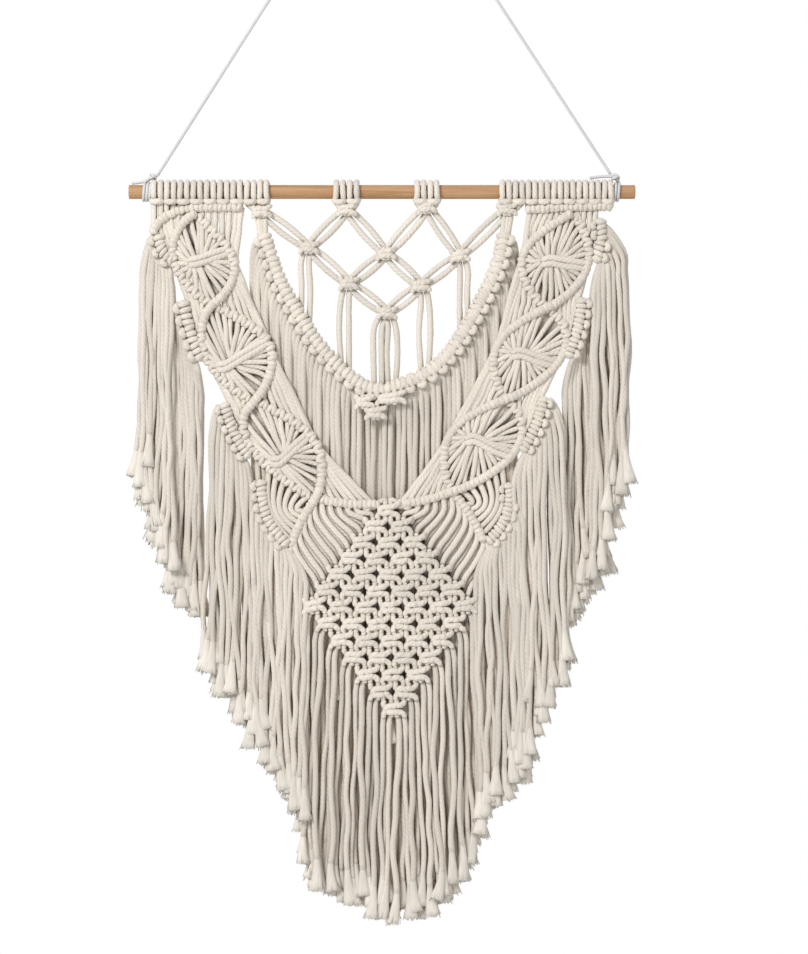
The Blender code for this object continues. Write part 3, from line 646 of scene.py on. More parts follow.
def cotton_material(name, light, deep, lay, twist=0.24, fuzz=0.35, comb=(420, 26)):
    """Twisted cotton: the plies are a sine of the run and of the angle round the cord, as
    deep as twist, with painted shade in the grooves between them. Fine fibres are noise drawn
    out along the run by comb, as deep as fuzz. Each cord has its own tone, and the hollows
    between cords, where little open air is near, hold a painted warm shade."""
    material, add, shade_with = plain_material(name)
    run = add("ShaderNodeUVMap", {}, uv_map="run").outputs["UV"]
    spot = object_place(add)
    phase = add("ShaderNodeVectorMath", {0: run, 1: (6 * math.pi / lay, 6 * math.pi, 0)},
                operation="DOT_PRODUCT").outputs["Value"]
    wave = add("ShaderNodeMath", {0: phase}, operation="SINE").outputs["Value"]
    # Painted shade in the grooves between the plies: darker where the ply wave is low
    painted_groove_shade = ranged(add, ranged(add, wave, -1.0, 0.3), low=1.0 - twist)
    combed = add("ShaderNodeVectorMath", {0: run, 1: (*comb, 1)}, operation="MULTIPLY").outputs["Vector"]
    fibre = noise(add, combed, 1.0, 3.0)
    strand = ranged(add, fibre, 0.35, 0.60, 1.0 - fuzz)
    # Colour between the deep and the light colour: painted groove shade, and darker fibres at random
    grooves_shaded_and_fibres = mix_colours(add, worked_out(add, "MULTIPLY", painted_groove_shade, strand), deep, light)
    tone = add("ShaderNodeAttribute", {}, attribute_name="tone").outputs["Fac"]
    cloud = ranged(add, noise(add, spot, 14.0, 2.0), 0.3, 0.7, 0.96, 1.03)
    bright = worked_out(add, "MULTIPLY", ranged(add, tone, low=0.80, high=1.03), cloud)
    tinted = add("ShaderNodeVectorMath", {0: grooves_shaded_and_fibres, "Scale": bright}, operation="SCALE").outputs["Vector"]
    # Painted shade: where the occlusion finds little open air within reach, the colour is darkened towards
    # a warm share (depth) of the deep colour
    air_without_painted_shade, depth = PAINTED_SHADE_BY_FINISH[name]
    air = add("ShaderNodeAmbientOcclusion", {"Distance": PAINTED_SHADE_REACH}, samples=4).outputs["AO"]
    dark = [depth * warmth * part for warmth, part in zip(PAINTED_SHADE_WARMTH, deep)]
    plies = bumped(add, wave, twist, 0.0009)
    fibres = bumped(add, fibre, fuzz, 0.0006, plies)
    shade_with({
        "Base Color": mix_colours(add, ranged(add, air, 0.03, air_without_painted_shade), dark, tinted),
        "Normal": bumped(add, noise(add, spot, 900.0, 3.0), fuzz, 0.0003, fibres),
        "Roughness": 0.92, "Specular IOR Level": 0.15, "Sheen Weight": 0.25, "Sheen Roughness": 0.6,
    })
    return material


def wood_material(name, light, deep):
    """Sanded beech: long streaks along the dowel, short dark flecks and a fine grain."""
    material, add, shade_with = plain_material(name)
    long_way, short_way = (
        add("ShaderNodeMapping", {"Vector": object_place(add), "Scale": scale}).outputs["Vector"]
        for scale in ((5, 120, 120), (60, 900, 900)))
    streak = noise(add, long_way, 1.6, 5.0, 0.6)
    fleck = worked_out(add, "MULTIPLY", noise(add, short_way, 1.0, 3.0), 0.35)
    grain = worked_out(add, "ADD", fleck, streak)
    ramp = add("ShaderNodeValToRGB", {"Fac": grain})
    for element, position, colour in zip(ramp.color_ramp.elements, (0.42, 0.82), (deep, light)):
        element.position = position
        element.color = (*colour, 1)
    shade_with({
        "Base Color": ramp.outputs["Color"], "Normal": bumped(add, grain, 0.25, 0.0004),
        "Roughness": 0.5, "Specular IOR Level": 0.35,
    })
    return material


def finish_of(name):
    """The shared cotton finish, made once, by name: cords, fringe, combed-out ends or the
    hanging cord."""
    if name in bpy.data.materials:
        return bpy.data.materials[name]
    colours = bpy.context.scene.macrame_colours
    lay = bpy.context.scene.macrame_cord.lay
    # Each deep colour below is the painted shade of the finish's ply grooves and hollows, and the colour of
    # its darker fibres
    if name == "brushed_cotton":
        return cotton_material(name, [1.08 * c for c in colours.cotton], [0.8 * c for c in colours.cotton],
                               lay, 0.04, 0.8, (60, 64))
    if name == "bleached_cord":
        return cotton_material(name, colours.hanger, [0.7 * c for c in colours.hanger], lay * 0.5)
    return cotton_material(name, colours.cotton, colours.cotton_shade_and_fibres, lay)


def hang_in_frame(name, mesh, material, slot, *nodes):
    """A finished piece that rides on the hanging's body and stands for its solids."""
    mesh.materials.append(material)
    piece = bpy.data.objects.new(name, mesh)
    bpy.context.scene.collection.objects.link(piece)
    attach(piece, BODY)
    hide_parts(*nodes)


def cotton_piece(name, skein, node, material="twisted_cotton"):
    """A piece of cotton in the place of one solid."""
    hang_in_frame(name, skein.mesh(name), finish_of(material), node + "_cotton", node)


def turned(template, origin, along, outward, width, depth, random):
    """A template's rows at origins: its first column along, as a share of the width, its
    second outwards and its third towards the viewer, each with a small error."""
    local = np.repeat(np.array(template, float)[None], len(origin), axis=0)
    local[:, :, 0] *= width
    local = local + random.normal(0, 0.16, local.shape)
    flat = origin[:, None] + local[:, :, :1] * along[:, None] + local[:, :, 1:2] * outward[:, None]
    return with_depth(flat, depth + local[:, :, 2])


def dowel_heads(skein, rows, foot):
    """Rows of lark's heads on the dowel, each two legs and the bar across them. The legs
    end where foot, a function of their places across, puts them across and down."""
    for left, right, count in rows:
        pitch = (right - left) / count
        origin = np.column_stack((left + pitch * (np.arange(count) + 0.5), np.zeros(count)))
        along, outward = np.tile((1.0, 0.0), (count, 1)), np.tile((0.0, 1.0), (count, 1))
        for sign in (-1, 1):
            leg = turned(DOWEL_LEG, origin, sign * along, outward, pitch, 0, skein.random)
            start, end = (with_depth(np.column_stack(foot(leg[:, row, 0])), depth)[:, None]
                          for row, depth in ((0, 2.0), (-1, 4.5)))
            skein.cords(curves(path(np.concatenate((start, leg, end), axis=1)), 36))
        bar = turned(DOWEL_BAR, origin, along, outward, pitch, 0, skein.random)
        skein.cords(curves(path(bar), 14), radius=1.08 * skein.radius)


def edge_heads(skein, line, count, depth, half_width, half_depth=4.2):
    """Lark's heads on a carrier: two rings round it and a bar across their outer ends."""
    along, square = slope(line)
    random = skein.random
    pitch = steps_of(line).sum() / count
    skein.cords([path(with_depth(line, depth))], radius=half_width + 0.7)
    at = 2 + 4 * np.arange(count)
    for shift in (-0.25, 0.25):
        size = random.uniform(0.92, 1.08, (count, 1))
        lean = along[at] * random.normal(0.5, 0.7, (count, 1))
        skein.rings(line[at] + along[at] * pitch * shift, square[at] * half_width * size + lean,
                    depth, half_depth * size[:, 0], min(pitch * 0.25, 3.1), 16)
    bar = turned(EDGE_BAR, line[at], along[at], square[at], pitch, depth, random)
    skein.cords(curves(path(bar), 8), radius=min(pitch * 0.28, 3.5))
    return at, along[at], square[at], pitch


def hitch_bar(skein, line, depth, smooth_from):
    """Half hitches on a carried cord: tilted rings on a core, each with its own small
    error. Where the bar falls to the left, and all the way below the drop smooth_from, the
    hitches lie tight and smooth; where it falls to the right they stand out as beads."""
    count = max(2, round(steps_of(line).sum() / HITCH["pitch"]))
    fine = even(with_depth(line, depth), 4 * count + 1)
    along = unit(np.gradient(fine[:, :2], axis=0))
    square = np.column_stack((along[:, 1], -along[:, 0]))
    beaded = 1 / (1 + np.exp(-9 * (along[:, 0] * along[:, 1] + 0.06)))
    beaded = np.where(fine[:, 1] > smooth_from, 0.25, beaded)
    core = HITCH["smooth_core"] + (HITCH["core"] - HITCH["smooth_core"]) * beaded
    skein.cords([path(fine)], radius=[core], sides=10)
    at = 2 + 4 * np.arange(count)
    along, square, beaded = along[at], square[at], beaded[at][:, None]
    random = skein.random
    paired = np.where(np.arange(count) % 2, -1, 1)[:, None]
    shift = along * paired * HITCH["pairing"] * beaded
    centre = fine[at, :2] + shift + random.normal(0, 0.16, (count, 2)) * (0.5 + beaded)
    size = random.uniform(0.96, 1.05, count)
    stand_out = HITCH["across"] * (0.72 + 0.28 * beaded)
    lean = along * HITCH["lean"] * paired * (0.3 + 0.7 * beaded) * random.uniform(0.6, 1.4, (count, 1))
    skein.rings(centre, square * stand_out * size[:, None] + lean, fine[at, 2], HITCH["deep"] * size,
                HITCH["cord"] * random.uniform(0.96, 1.04, count))


def square_knots(skein, centres, depth, width=1.0, height=1.0):
    """Square knots: the working cords' paths, scaled and set at each centre, their bars
    rising a little to the right."""
    centres = np.asarray(centres, float)
    tilt = skein.random.normal(-0.09, 0.07, (len(centres), 1))
    for template, side, swell in (
            (KNOT_BARS, 1, 0.25), (KNOT_ARM, 1, 0.08), (KNOT_INSIDE, 1, 0.0), (KNOT_INSIDE, -1, 0.0)):
        local = np.repeat(np.array(template, float)[None], len(centres), axis=0)
        local *= (side * width, height, 1)
        local[:, 2:-2] += skein.random.normal(0, 0.35, local[:, 2:-2].shape)
        local[:, :, 1] += tilt * local[:, :, 0] * np.exp(-(local[:, :, 1] / 6) ** 2)
        local += with_depth(centres, depth)[:, None]
        steps = 3 * len(template)
        fullness = 0.88 + swell * np.sin(math.pi * np.linspace(0, 1, steps)) ** 0.5
        skein.cords(curves(path(local), steps), radius=fullness * skein.radius)


def lay_straight(skein, starts, ends, end_depth, middle_depth, sway=0.5):
    """Cords from starts to ends that sway a little between them."""
    t = np.linspace(0, 1, 5)
    rows = between(starts, ends, t)
    rows[:, 1:-1] += skein.random.normal(0, sway, (len(starts), 3, 2))
    depth = np.tile(np.interp(t, (0, 0.5, 1), (end_depth, middle_depth, end_depth)), (len(starts), 1))
    depth[:, 1:-1] += skein.random.normal(0, 0.5, (len(starts), 3))
    skein.lay(with_depth(rows, depth))


def hang_fringe(skein, brush, controls, tips, wave=1.0, fibres=FIBRES["count"]):
    """Fringe cords from their control rows to their tips, with a brush of loose fibres at
    each end. Each sways by a sine of its fall for every row of WAVES, times wave, which
    sets in over the first 60 mm below its root, and by a small error in depth."""
    random = skein.random
    roots = controls[:, -1]
    count = len(roots)
    t = np.linspace(0, 1, 13)[1:]
    hang = between(roots, tips, t)
    fall = (tips[:, 1] - roots[:, 1])[:, None] * t
    sway = np.zeros_like(fall)
    lengths = [random.uniform(shortest, longest, (count, 1)) for shortest, longest, reach in WAVES]
    for length, (shortest, longest, reach) in zip(lengths, WAVES):
        turn = random.uniform(0, 2 * math.pi, (count, 1))
        sway += reach * (np.sin(2 * math.pi * fall / length + turn) - np.sin(turn) * (1 - t))
    set_in = np.minimum(1, fall / 60)
    hang[:, :, 0] += wave * sway * set_in
    hang[:, :, 2] += 0.5 * wave * random.normal(0, 1, (count, len(t))) * set_in
    longest_fall = (tips[:, 1] - controls[:, 0, 1]).max()
    paths = curves(path(np.concatenate((controls, hang), axis=1)), int(longest_fall / 8) + 4)
    radius = np.full(paths.shape[:2], skein.radius) * random.uniform(0.94, 1.06, (count, 1))
    skein.cords(paths, radius, sides=7)
    brush_ends(brush, paths, fibres)


def brush_ends(brush, paths, fibres):
    """Combed-out ends: a fluted tuft whose radius grows with the way down to the power 1.3,
    and fibres that run inside it, at a sunflower's even angles and square-root distances
    from its middle, and stand out past its rim."""
    length = sizes()["brush"]
    random = brush.random
    count = len(paths)
    heading = unit(unit(paths[:, -1] - paths[:, -3]) + (0, 0, -0.6))
    full = length * random.uniform(0.8, 1.12, (count, 1))
    bend = random.normal(0, 2.6, (count, 1, 3)) * (1, 0.5, 0)
    tone = random.uniform(0.4, 1.0, count)
    t = np.linspace(0, 1, 7)
    tuft = paths[:, -1, None] + heading[:, None] * ((full + 5) * t - 5)[:, :, None]
    tuft = tuft + bend * (t ** 2)[:, None]
    angle = np.arange(TUFT["sides"]) * 2 * math.pi / TUFT["sides"]
    flare = random.uniform(0.78, 1.15, (count, 1)) * (TUFT["rim"] - TUFT["root"]) * t ** 1.3 + TUFT["root"]
    flutes = np.sin(6 * angle + random.uniform(0, 6, (count, 1)))[:, None] * t[:, None]
    around = 1 - TUFT["flat"] * np.cos(2 * angle) * t[:, None] + TUFT["flute"] * flutes
    brush.cords(tuft, radius=flare[:, :, None] * around, sides=TUFT["sides"], tones=tone, cap=0.12)
    turn = random.uniform(0, 2 * math.pi, (count, 1)) + np.arange(fibres) * 2.4
    reach = np.sqrt((np.arange(fibres) + 0.5) / fibres) * random.uniform(0.9, 1.15, (count, fibres))
    out = np.stack((1.35 * np.cos(turn), 0.7 * np.sin(turn), np.zeros_like(turn)), axis=-1)
    long = full + random.uniform(-0.8, 2.6, (count, fibres))
    t = np.array((0.3, 0.7, 1.0))
    points = paths[:, -1, None, None] + heading[:, None, None] * (long[:, :, None] * t)[..., None]
    points = points + out[:, :, None] * (FIBRES["spread"] * reach[:, :, None] * t ** 1.3)[..., None]
    points = points + bend[:, None] * (t ** 2)[:, None] + random.normal(0, 0.3, points.shape) * t[:, None]
    radius = np.interp(t, (0.3, 1), (FIBRES["root"], FIBRES["tip"]))
    shade = np.repeat(tone, fibres) + random.uniform(-0.5, 0.3, count * fibres)
    brush.cords(points.reshape(-1, len(t), 3), radius=radius, sides=3, tones=shade)


class Wing:
    """One wing's bars and strands, worked out from its leaves."""

    def __init__(self, side):
        self.wing = WINGS[side]
        self.outward = self.wing["outward"]
        self.leaves = [dict(zip(LEAF_COLUMNS, row)) for row in self.wing["leaves"]]
        self.crossings = [(leaf["across"], leaf["drop"]) for leaf in self.leaves] + [self.wing["end"]]

    def edge(self, leaf, name, t):
        """Points at t on a leaf's outer or inner edge, on the V bar or on the lobe's edge."""
        if name in ("v", "lobe"):
            return bow(self.crossings[3], self.wing[name + "_end"], V_SAG, self.outward, t)
        sign = self.outward if name == "outer" else -self.outward
        row = self.leaves[leaf]
        return bow(self.crossings[leaf], self.crossings[leaf + 1], row[name], sign, t,
                   row[name + "_skew"], 0.8)

    def heading_drop(self, across):
        """Drop of the bar under the heads at places across."""
        return drop_on(curve(self.wing["heading"], 60), across)

    def bars(self, skein):
        """The two bars that cross at the ends of each leaf, one over the other in turn, and
        the bar under the heads."""
        t = np.linspace(0, 1, 25)[:-1]
        near_top, near_end = np.exp(-(t / CROSSING) ** 2), np.exp(-((1 - t) / CROSSING) ** 2)
        for run in (("outer", "inner", "outer", "v"), ("inner", "outer", "inner", "lobe")):
            line, depth = [], []
            for leaf, name in enumerate(run):
                line.append(self.edge(leaf, name, t))
                over = (leaf % 2 == 0) == (run[0] == self.wing["over"])
                rise_top, rise_end = (OVER, UNDER) if over else (UNDER, OVER)
                depth.append(BAR_DEPTH + rise_top * near_top + rise_end * near_end)
            line = np.vstack(line + [self.edge(3, run[3], 1.0)])
            hitch_bar(skein, line, np.concatenate(depth + [[BAR_DEPTH]]), self.crossings[3][1] + 2)
        hitch_bar(skein, curve(self.wing["heading"], 40), 6.8, 0)

    def fans(self, skein):
        """Strands from a leaf's lower edges to the next leaf's upper ones, and from the bar
        under the heads to the first leaf."""
        for leaf, name, start, stop, to_leaf, to_name, to_start, to_stop, count in self.wing["fans"]:
            starts = self.edge(leaf, name, np.linspace(start, stop, count))
            ends = self.edge(to_leaf, to_name, np.linspace(to_start, to_stop, count))
            lay_straight(skein, starts, ends, FAN_DEPTH, FAN_DEPTH)
        for name, across, to_across, start, stop, count in self.wing["drops"]:
            across = np.linspace(across, to_across, count)
            starts = np.column_stack((across, self.heading_drop(across)))
            ends = self.edge(0, name, np.linspace(start, stop, count))
            lay_straight(skein, starts, ends, FAN_DEPTH, FAN_DEPTH + 1)

    def lobe(self, skein):
        """Strands that curve down inside the lobe under the last leaf: their belly is a sine
        of the way down."""
        starts = self.edge(2, "outer", np.linspace(LOBE["start"], LOBE["stop"], LOBE["count"]))
        ends = self.edge(3, "lobe", np.linspace(LOBE["to_start"], LOBE["to_stop"], LOBE["count"]))
        t = np.linspace(0, 1, 6)
        belly = np.sin(math.pi * t)
        rows = between(starts, ends, t)
        rows[:, :, 0] += self.outward * LOBE["belly"] * belly
        rows[:, :, 1] += 0.4 * LOBE["belly"] * belly
        skein.lay(with_depth(rows, FAN_DEPTH + 1.5 * belly))

    def spiders(self, skein):
        """Strands drawn together under a belt inside each leaf. From a point of the rim
        each runs to the belt, at 0.3 of that point's distance along the belt. Behind them
        straight strands join the leaf's upper rim to its lower rim."""
        right = "inner" if self.outward < 0 else "outer"
        t = np.array((0, 0.35, 0.7, 1.0))
        share = 0.5 * np.linspace(0, 0.98, 15) ** 2
        for number, leaf in enumerate(self.leaves):
            start, end = np.array(self.crossings[number:number + 2], float)
            gather = start + (end - start) * leaf["gather_at"]
            gather = gather + normal_towards(start, end, self.outward) * leaf["gather_off"]
            target = self.edge(number, right, leaf["gather_at"] - 0.06)[0]
            belt = unit(target - gather)
            for name in ("outer", "inner"):
                rims = self.edge(number, name, np.linspace(0.02, 0.98, 16))
                along = np.clip((rims - gather) @ belt * 0.3, -6, 8)
                tied = gather + along[:, None] * belt
                tied = tied + unit(rims - tied) * (3.0, 3.4)
                rows = between(rims, tied, t)
                stack = np.where(np.arange(len(rims)) % 2, 2.4, -0.4)[:, None]
                depth = np.array((FAN_DEPTH, 6.0, 7.6, 7.0)) + stack * np.array((0, 0.6, 1, 1))
                rows[:, 1:3] += skein.random.normal(0, 0.6, (len(rims), 2, 2))
                skein.lay(with_depth(rows, depth), step=3.5, radius=0.9 * skein.radius)
            upper, lower = (
                np.vstack((self.edge(number, "outer", way)[::-1], self.edge(number, "inner", way)))
                for way in (share, 1 - share))
            lay_straight(skein, upper, lower, 0.6, -1.4, 0.4)
            self.belt(skein, gather, target)

    def belt(self, skein, gather, target):
        """The two cords that tie a leaf's strands together and run to its right-hand edge."""
        for offset in (-2.9, 2.9):
            rows = [(*(gather + (-2, 2 + offset * 0.3)), 3.0), (*(gather + (-6.5, 1 + offset * 0.6)), 7.5),
                    (*(gather + (-4.0, offset)), 11.6), (*(gather + (2, -1 + offset)), 12.6)]
            for share in (0.5, 0.8, 1.0):
                point = gather + (target - gather) * share + (0, offset * (1.25 - 0.3 * share))
                rows.append((*point, 12.6 - 6.5 * share ** 2))
            skein.lay([rows], step=2.5, radius=1.1 * skein.radius)


def make_wing(side, seed):
    """A wing's heads, bars and strands."""
    wing = Wing(side)
    node = "wing_" + side
    knots, strands = Skein(seed), Skein(seed + 10)
    dowel_heads(knots, HEAD_ROWS[node], lambda across: (across, wing.heading_drop(across)))
    wing.bars(knots)
    cotton_piece(node + "_bars", knots, node)
    wing.fans(strands)
    wing.lobe(strands)
    wing.spiders(strands)
    cotton_piece(node + "_strands", strands, node)


def make_net():
    """Tabs on the dowel, the knots of the net, the pairs of cords between them, which bulge
    apart by a sine of the way down, and the tails that run down behind the swag."""
    skein = Skein(31)

    def tab_foot(across):
        nearest = np.abs(across[:, None] - TAB_KNOTS).argmin(axis=1)
        return TAB_KNOTS[nearest] + 0.6 * (across - TAB_KNOTS[nearest]), np.full(len(across), 17.0)

    dowel_heads(skein, HEAD_ROWS["net"], tab_foot)
    knots = np.array(NET_KNOTS, float)
    square_knots(skein, knots, NET_DEPTH + 1, width=0.8, height=0.72)
    t = np.linspace(0, 1, 6)[:, None]
    spread = 2.5 + 2.2 * np.sin(math.pi * t)
    for upper, lower in NET_PAIRS:
        start, end = knots[upper], knots[lower]
        aside = normal_towards(start, end, 1)
        for side in (-1, 1):
            line = start + (end - start) * t + aside * (side * spread)
            skein.lay([with_depth(line, NET_DEPTH)])
    band = curve(SWAG_LINE, 200)
    for number, shift in NET_TAILS:
        across, drop = knots[number]
        for offset in (-4.0, 4.0):
            hang = across + shift + offset
            foot = drop_on(band, hang) + 3
            skein.lay([[(across + shift * 0.3 + offset * 0.7, drop, NET_DEPTH),
                        (hang, drop + 16, NET_DEPTH - 0.5),
                        (hang + skein.random.normal(0, 1), (drop + foot) / 2, -1.0),
                        (hang, foot - 10, TAIL_DEPTH), (hang, foot, TAIL_DEPTH)]])
    for (across, drop), end in ((knots[0], SWAG_LINE[0]), (knots[3], SWAG_LINE[-1])):
        for offset in (-4, 0, 4):
            skein.lay([[(across + offset, drop, NET_DEPTH + 1),
                        (across + offset * 0.8, drop + 10, NET_DEPTH + 2),
                        (end[0] + offset * 0.6, end[1] + 2, NET_DEPTH + 2)]])
    cotton_piece("net_cords", skein, "net")


def make_swag():
    """The swag's band of lark's heads on its carrier, its tail knots and its fringe: two
    strands from each head, and two rows nearer the wall that are even across."""
    band, fringe, brush = Skein(41), Skein(42, shades=FRINGE_SHADES), Skein(43)
    line = curve(SWAG_LINE, 4 * SWAG_HEADS + 1)
    at, along, square, pitch = edge_heads(band, line, SWAG_HEADS, 4.0, half_width=5.6, half_depth=4.4)
    for across, drop, width in SWAG_KNOTS:
        square_knots(band, [(across, drop)], 6.0, width, height=0.8)
    cotton_piece("swag_band", band, "swag")
    rows = [(line[at] + along * pitch * shift + square * 6, square * 5 + (0, 6), layers, 0.5)
            for shift, layers in ((-0.25, (-1.8, -5.4)), (0.25, (-1.0, -4.6)))]
    for shift, depth in ((0, -8.4), (3.0, -10.0)):
        across = np.linspace(-112, 112, 38) + shift
        root = np.column_stack((across, drop_on(line, across) + 6))
        rows.append((root, np.tile((0.0, 8.0), (len(root), 1)), (depth, depth), 0.12))
    for root, outward, layers, wave in rows:
        lower = root + outward
        share = np.abs(root[:, 0]) / 120
        drop = SWAG_TIPS["middle"] + (SWAG_TIPS["side"] - SWAG_TIPS["middle"]) * share
        drop = drop + fringe.random.normal(0, 8, len(root))
        layer = np.where(np.arange(len(root)) % 2, *layers)
        controls = control_rows((root, 1.4), (lower, 1.0), (lower + outward * (0.4, 0) + (0, 24), layer))
        tips = np.column_stack((lower[:, 0] + fringe.random.normal(0, 3 * wave, len(root)), drop, layer))
        hang_fringe(fringe, brush, controls, tips, wave, 8)
    cotton_piece("swag_fringe", fringe, "swag", "fringe_cotton")
    cotton_piece("swag_tips", brush, "swag", "brushed_cotton")


def make_scallop(name):
    """A scallop's band of lark's heads with the fringe that hangs from them in three rows,
    the last of them thinner and nearer the wall."""
    row = dict(zip(SCALLOP_COLUMNS, SCALLOPS[name]))
    seed = 100 + 10 * list(SCALLOPS).index(name)
    band, skein, brush = Skein(seed + 2), Skein(seed, shades=FRINGE_SHADES), Skein(seed + 1)
    line = bow((row["across"], row["drop"]), (row["end_across"], row["end_drop"]), row["bulge"],
               -1 if "left" in name else 1, np.linspace(0, 1, 60))
    line = even(line, 4 * row["heads"] + 1)
    edge_heads(band, line, row["heads"], BAR_DEPTH, half_width=4.2)
    cotton_piece(name + "_band", band, name)
    count = row["strands"]
    square = slope(line)[1]
    # Rows: their layer, shift along the band, wave, and fibres at each tip
    for layer, shift, wave, fibres in ((row["near_layer"], 0.5, 1.0, FIBRES["count"]),
                                       (row["far_layer"], 0.0, 1.0, FIBRES["count"]),
                                       (row["far_layer"] - 4, 0.75, 0.3, FIBRES["count"] // 2)):
        share = (np.arange(count) + shift) / count
        on_line, out = (
            np.column_stack([np.interp(share * (len(line) - 1), np.arange(len(line)), values[:, axis])
                             for axis in (0, 1)]) for values in (line, square))
        root = on_line + out * 5.5
        hang, tip, drop = (
            row[name_of + "_outer"] + (row[name_of + "_inner"] - row[name_of + "_outer"]) * share
            for name_of in ("hang", "tip", "end"))
        drop = drop - sizes()["brush"] - 4 - np.abs(skein.random.normal(0, 11, count))
        early = skein.random.random(count) > 0.86
        drop = drop - early * skein.random.uniform(20, 55, count) * (shift == 0.5)
        depth = np.full(count, layer) + skein.random.normal(0, 0.6, count)
        controls = control_rows(
            (root, BAR_DEPTH - 2),
            (np.column_stack(((root[:, 0] + hang) / 2, root[:, 1] + 9)), BAR_DEPTH - 1),
            (np.column_stack((hang, root[:, 1] + 32)), depth))
        hang_fringe(skein, brush, controls, np.column_stack((tip, drop, depth)), wave, fibres)
    cotton_piece(name + "_cords", skein, name, "fringe_cotton")
    cotton_piece(name + "_tips", brush, name, "brushed_cotton")


def diamond_point(fall, rise):
    """Points of the diamond's lattice, a blend of its four corners by how far along each of
    its upper edges they are; fall runs to the right, rise to the left."""
    u, v = (np.asarray(way, float)[..., None] / (DIAMOND["knots"] - 1) for way in (fall, rise))
    top, left, right, foot = (np.array(DIAMOND[name], float) for name in ("top", "left", "right", "foot"))
    return top * (1 - u) * (1 - v) + right * u * (1 - v) + left * (1 - u) * v + foot * u * v


def make_diamond():
    """Square knots in diagonal rows, the strands that carry them and the long fringe."""
    knots, strands = Skein(51, lumps=0.06), Skein(54)
    fringe, brush = Skein(52, shades=FRINGE_SHADES), Skein(53)
    order = np.arange(DIAMOND["knots"])
    fall, rise = (grid.ravel() for grid in np.meshgrid(order, order))
    square_knots(knots, diamond_point(fall, rise), 4.6)
    cotton_piece("diamond_knots", knots, "diamond")
    make_drops(strands, "left", 11)
    make_drops(strands, "right", 16)
    cotton_piece("diamond_strands", strands, "diamond")
    make_diamond_fringe(fringe, brush)
    cotton_piece("diamond_fringe", fringe, "diamond", "fringe_cotton")
    cotton_piece("diamond_tips", brush, "diamond", "brushed_cotton")


def make_drops(skein, side, swing):
    """S-shaped strands from a wing's last bars to one of the diamond's upper edges, two to
    each knot in front, and behind them one from between every two."""
    wing = Wing(side)
    line = np.vstack((wing.edge(3, "v", np.linspace(0.92, 0, 20)),
                      wing.edge(3, "lobe", np.linspace(0.02, 0.97, 20))))
    count = 2 * DIAMOND["knots"]
    steps = np.arange(count) // 2
    odd = np.arange(count) % 2 == 1
    knots = diamond_point(0 * steps, steps) if side == "left" else diamond_point(steps, 0 * steps)
    ends = knots + np.column_stack((np.where(odd, 9.6, 2.2) * wing.outward, np.where(odd, -2.5, -7.6)))
    ends = np.concatenate((ends, (ends[1:] + ends[:-1]) / 2))
    starts = even(line, 2 * count - 1)
    starts = np.concatenate((starts[::2], starts[1::2]))
    behind = np.repeat((0.0, 4.2), (count, count - 1))[:, None]
    share = (np.linalg.norm(starts - line[0], axis=1) / np.linalg.norm(line[-1] - line[0]))[:, None]
    share = np.clip(share, 0.1, 1.0)
    rows = between(starts, ends, np.array((0, 0.3, 0.65, 0.88, 1)))
    rows[:, :, 0] += wing.outward * (np.array((0, 0.9, 0.6, 0.15, 0)) * swing) * share
    rows[:, :, 1] += np.array((0, 0.5, 0.2, 0, 0)) * 8 * (1 - share) - np.array((0, 0, 1.5, 2.5, 0))
    depth = np.array((FAN_DEPTH, 5.5, 5.5, 4.6, 4.2)) - behind
    skein.lay(with_depth(rows, depth), radius=1.06 * skein.radius)


def make_diamond_fringe(skein, brush):
    """Fringe from the diamond's lower edges, in four rows from its knots, and behind them
    in two rows that are even across."""
    order = np.arange(DIAMOND["knots"])
    full = np.full(len(order), len(order) - 1)
    left, right = diamond_point(order, full), diamond_point(full, order)
    ways = np.repeat((-1, 1), len(order))
    middle, spread = 8, 0.09
    # Rows: depth of their roots, how far these are from the knots' middles, and their layer
    for row_depth, shift, layer in ((4.6, 3.5, 6.6), (4.0, 9.6, 3.0), (0.0, 6.5, -0.4), (-3.0, 1.0, -3.6)):
        roots = np.concatenate((left, right)) + np.column_stack((ways * shift, np.full(len(ways), 5)))
        hang = roots[:, 0] + ways * 1.5 + (roots[:, 0] - middle) * 0.03
        tip = hang + (hang - middle) * spread + skein.random.normal(0, 2.2, len(hang))
        drop = drop_on(DIAMOND_TIPS, tip) - skein.random.uniform(0, 16, len(hang)) - sizes()["brush"]
        depth = layer + skein.random.normal(0, 0.7, len(hang))
        controls = control_rows(
            (roots, row_depth), (np.column_stack((hang, roots[:, 1] + 12)), row_depth + 1),
            (np.column_stack((hang, roots[:, 1] + 34)), depth))
        hang_fringe(skein, brush, controls, np.column_stack((tip, drop, depth)))
    lower = np.vstack((left, right[::-1][1:]))
    for shift, layer in ((0, -4.6), (2.7, -6.8)):
        across = np.arange(-80, 96, 5.4) + shift
        start = np.column_stack((across, drop_on(lower, across) + 2))
        tip = across + (across - middle) * spread
        drop = drop_on(DIAMOND_TIPS, tip) - sizes()["brush"] - skein.random.uniform(4, 34, len(tip))
        hang_fringe(skein, brush, control_rows((start, -2.0), (start + (0, 30), layer)),
                    with_depth(np.column_stack((tip, drop)), layer), 0.5, FIBRES["count"] // 2)


